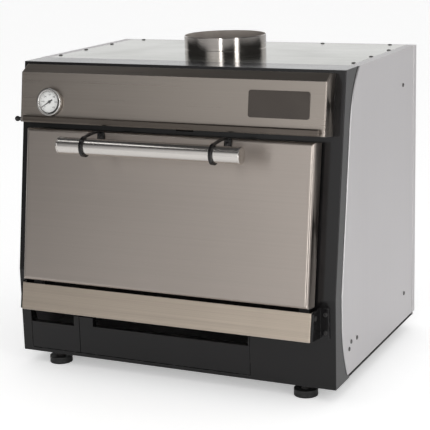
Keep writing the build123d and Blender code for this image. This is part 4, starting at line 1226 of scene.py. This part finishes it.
@dataclass(frozen=True)
class Studio:
    """Camera, room, floor and lamps.

    A side of the room is a level unit vector, and its edges are the cosines between which it fades in.
    The room fades out between the two upward shares of fade.
    """

    camera_at: Point = (1.3917, -2.9976, 1.1291)
    camera_right: Point = (0.9074763, 0.4192261, -0.0271352)
    camera_down: Point = (0.0727726, -0.2204850, -0.9726718)
    camera_ahead: Point = (-0.4137523, 0.8807019, -0.2305931)
    lens: float = 110.82
    sensor: float = 36.0
    sight: float = 60.0
    bright_side: Point = (0.174, -0.985, 0.0)
    bright_edges: Pair = (0.70, 0.93)
    dark_card: Point = (0.574, -0.819, 0.0)
    dark_edges: Pair = (0.90, 0.96)
    backdrop_side: Point = (-0.32, 0.947, 0.0)
    backdrop_edges: Pair = (0.52, 0.72)
    fade: Pair = (0.72, 0.42)
    front_glow: float = 1.35
    dim_room: float = 0.045
    matt_light: float = 0.66
    floor_glow: float = 0.38
    floor_in_gloss: float = 0.15
    floor_half: float = 12.0
    floor_cells: int = 8
    floor_tone: Colour = (0.90, 0.90, 0.90)
    floor_roughness: float = 0.8

    def camera(self) -> None:
        """Puts the camera where the photograph was taken."""
        data = bpy.data.cameras.new("camera")
        data.lens = self.lens
        data.sensor_width = self.sensor
        data.clip_end = self.sight
        view = bpy.data.objects.new("camera", data)
        bpy.context.scene.collection.objects.link(view)
        columns = (Vector(self.camera_right), -Vector(self.camera_down), -Vector(self.camera_ahead))
        turn = Matrix(columns).transposed().to_4x4()
        view.matrix_world = Matrix.Translation(self.camera_at) @ turn
        bpy.context.scene.camera = view

    def seen_rays(self, tree: Tree) -> Socket:
        """Tells the rays that show the backdrop from those that only carry its light.

        Args:
            tree: The tree that gets the nodes.

        Returns:
            1 for camera, glossy and transmission rays and 0 for the others.
        """
        path = add_node(tree, "ShaderNodeLightPath").outputs
        seen = math_node(tree, "MAXIMUM", path["Is Camera Ray"], path["Is Glossy Ray"])
        return math_node(tree, "MAXIMUM", seen, path["Is Transmission Ray"])

    def towards(self, tree: Tree, aim: Point, edges: Pair) -> Socket:
        """Finds how nearly a direction of the room faces one side, whatever its height.

        Args:
            tree: The tree that gets the nodes.
            aim: Level unit vector to the middle of that side.
            edges: Cosines at which the value becomes 0 and 1.

        Returns:
            A value from 0 to 1.
        """
        where = add_node(tree, "ShaderNodeTexCoord").outputs["Generated"]
        level = vector_node(tree, "MULTIPLY", where, (1, 1, 0)).outputs[0]
        unit = add_node(tree, "ShaderNodeVectorMath", {0: level}, operation="NORMALIZE").outputs[0]
        dot = vector_node(tree, "DOT_PRODUCT", unit, aim)
        return range_node(tree, dot.outputs["Value"], *edges)

    def below(self, tree: Tree) -> Socket:
        """Fades the room out above a height.

        Args:
            tree: The tree that gets the nodes.

        Returns:
            A value from 0 to 1.
        """
        where = add_node(tree, "ShaderNodeTexCoord").outputs["Generated"]
        parts = add_node(tree, "ShaderNodeSeparateXYZ", {0: where})
        return range_node(tree, parts.outputs["Z"], *self.fade)

    def sky(self) -> None:
        """Makes the room: a white backdrop, a soft glow in front and even light on matt faces.

        Steel sees the backdrop behind the oven and the glow in front beside a dark card.
        """
        world = bpy.data.worlds.new("room")
        bpy.context.scene.world = world
        world.use_nodes = True
        tree = world.node_tree
        bright = self.towards(tree, self.bright_side, self.bright_edges)
        card = self.towards(tree, self.dark_card, self.dark_edges)
        backdrop = self.towards(tree, self.backdrop_side, self.backdrop_edges)
        glow = math_node(tree, "MULTIPLY", bright, self.front_glow)
        front = math_node(tree, "MULTIPLY", glow, math_node(tree, "SUBTRACT", 1.0, card))
        sides = math_node(tree, "MAXIMUM", front, backdrop)
        room = math_node(tree, "ADD", math_node(tree, "MULTIPLY", sides, self.below(tree)), self.dim_room)
        path = add_node(tree, "ShaderNodeLightPath").outputs
        strength = math_node(tree, "MAXIMUM", room, path["Is Camera Ray"])
        shown = add_node(tree, "ShaderNodeBackground", {"Color": WHITE, "Strength": strength})
        matt = tree.nodes["Background"]
        fill(tree, matt.inputs["Color"], WHITE)
        fill(tree, matt.inputs["Strength"], self.matt_light)
        mix_surface(tree, "World Output", self.seen_rays(tree), matt.outputs[0], shown.outputs[0])

    def floor(self) -> None:
        """Lays a large pale floor that looks white except in the object's shadow."""
        shape = bmesh.new()
        cells = self.floor_cells
        bmesh.ops.create_grid(shape, x_segments=cells, y_segments=cells, size=self.floor_half)
        floor = new_object("floor", shape)
        bench = Bench("floor")
        bench.shade({"Base Color": (*self.floor_tone, 1.0), "Roughness": self.floor_roughness})
        path = add_node(bench.tree, "ShaderNodeLightPath").outputs
        dimmed = self.floor_glow * (1 - self.floor_in_gloss)
        drop = math_node(bench.tree, "MULTIPLY", path["Is Glossy Ray"], dimmed)
        strength = math_node(bench.tree, "SUBTRACT", self.floor_glow, drop)
        glow = add_node(bench.tree, "ShaderNodeEmission", {"Color": WHITE, "Strength": strength})
        matt = bench.shader.outputs[0]
        lit = add_node(bench.tree, "ShaderNodeAddShader", {0: matt, 1: glow.outputs[0]})
        mix_surface(bench.tree, "Material Output", self.seen_rays(bench.tree), matt, lit.outputs[0])
        floor.data.materials.append(bench.material)

    def build(self) -> None:
        """Builds the studio."""
        self.camera()
        self.sky()
        self.floor()
        for lamp in LAMPS:
            lamp.build()
        bpy.context.scene.view_settings.view_transform = "Standard"
        LOG.info("built the studio with %d lamps", len(LAMPS))


def main() -> None:
    """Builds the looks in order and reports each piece."""
    logging.basicConfig(level=logging.INFO, format="%(message)s")
    Studio().build()
    wardrobe = Wardrobe()
    wardrobe.dress_frame()
    top_screws = DomeScrews("top_screws", (0, 0, 1))
    side_screws = DomeScrews("side_screws", (1, 0, 0))
    for maker in (DialMarks(), top_screws, side_screws, Feet(), BallKnob(), Bezel(), Flue()):
        maker.build(wardrobe)


if __name__ == "__main__":
    main()
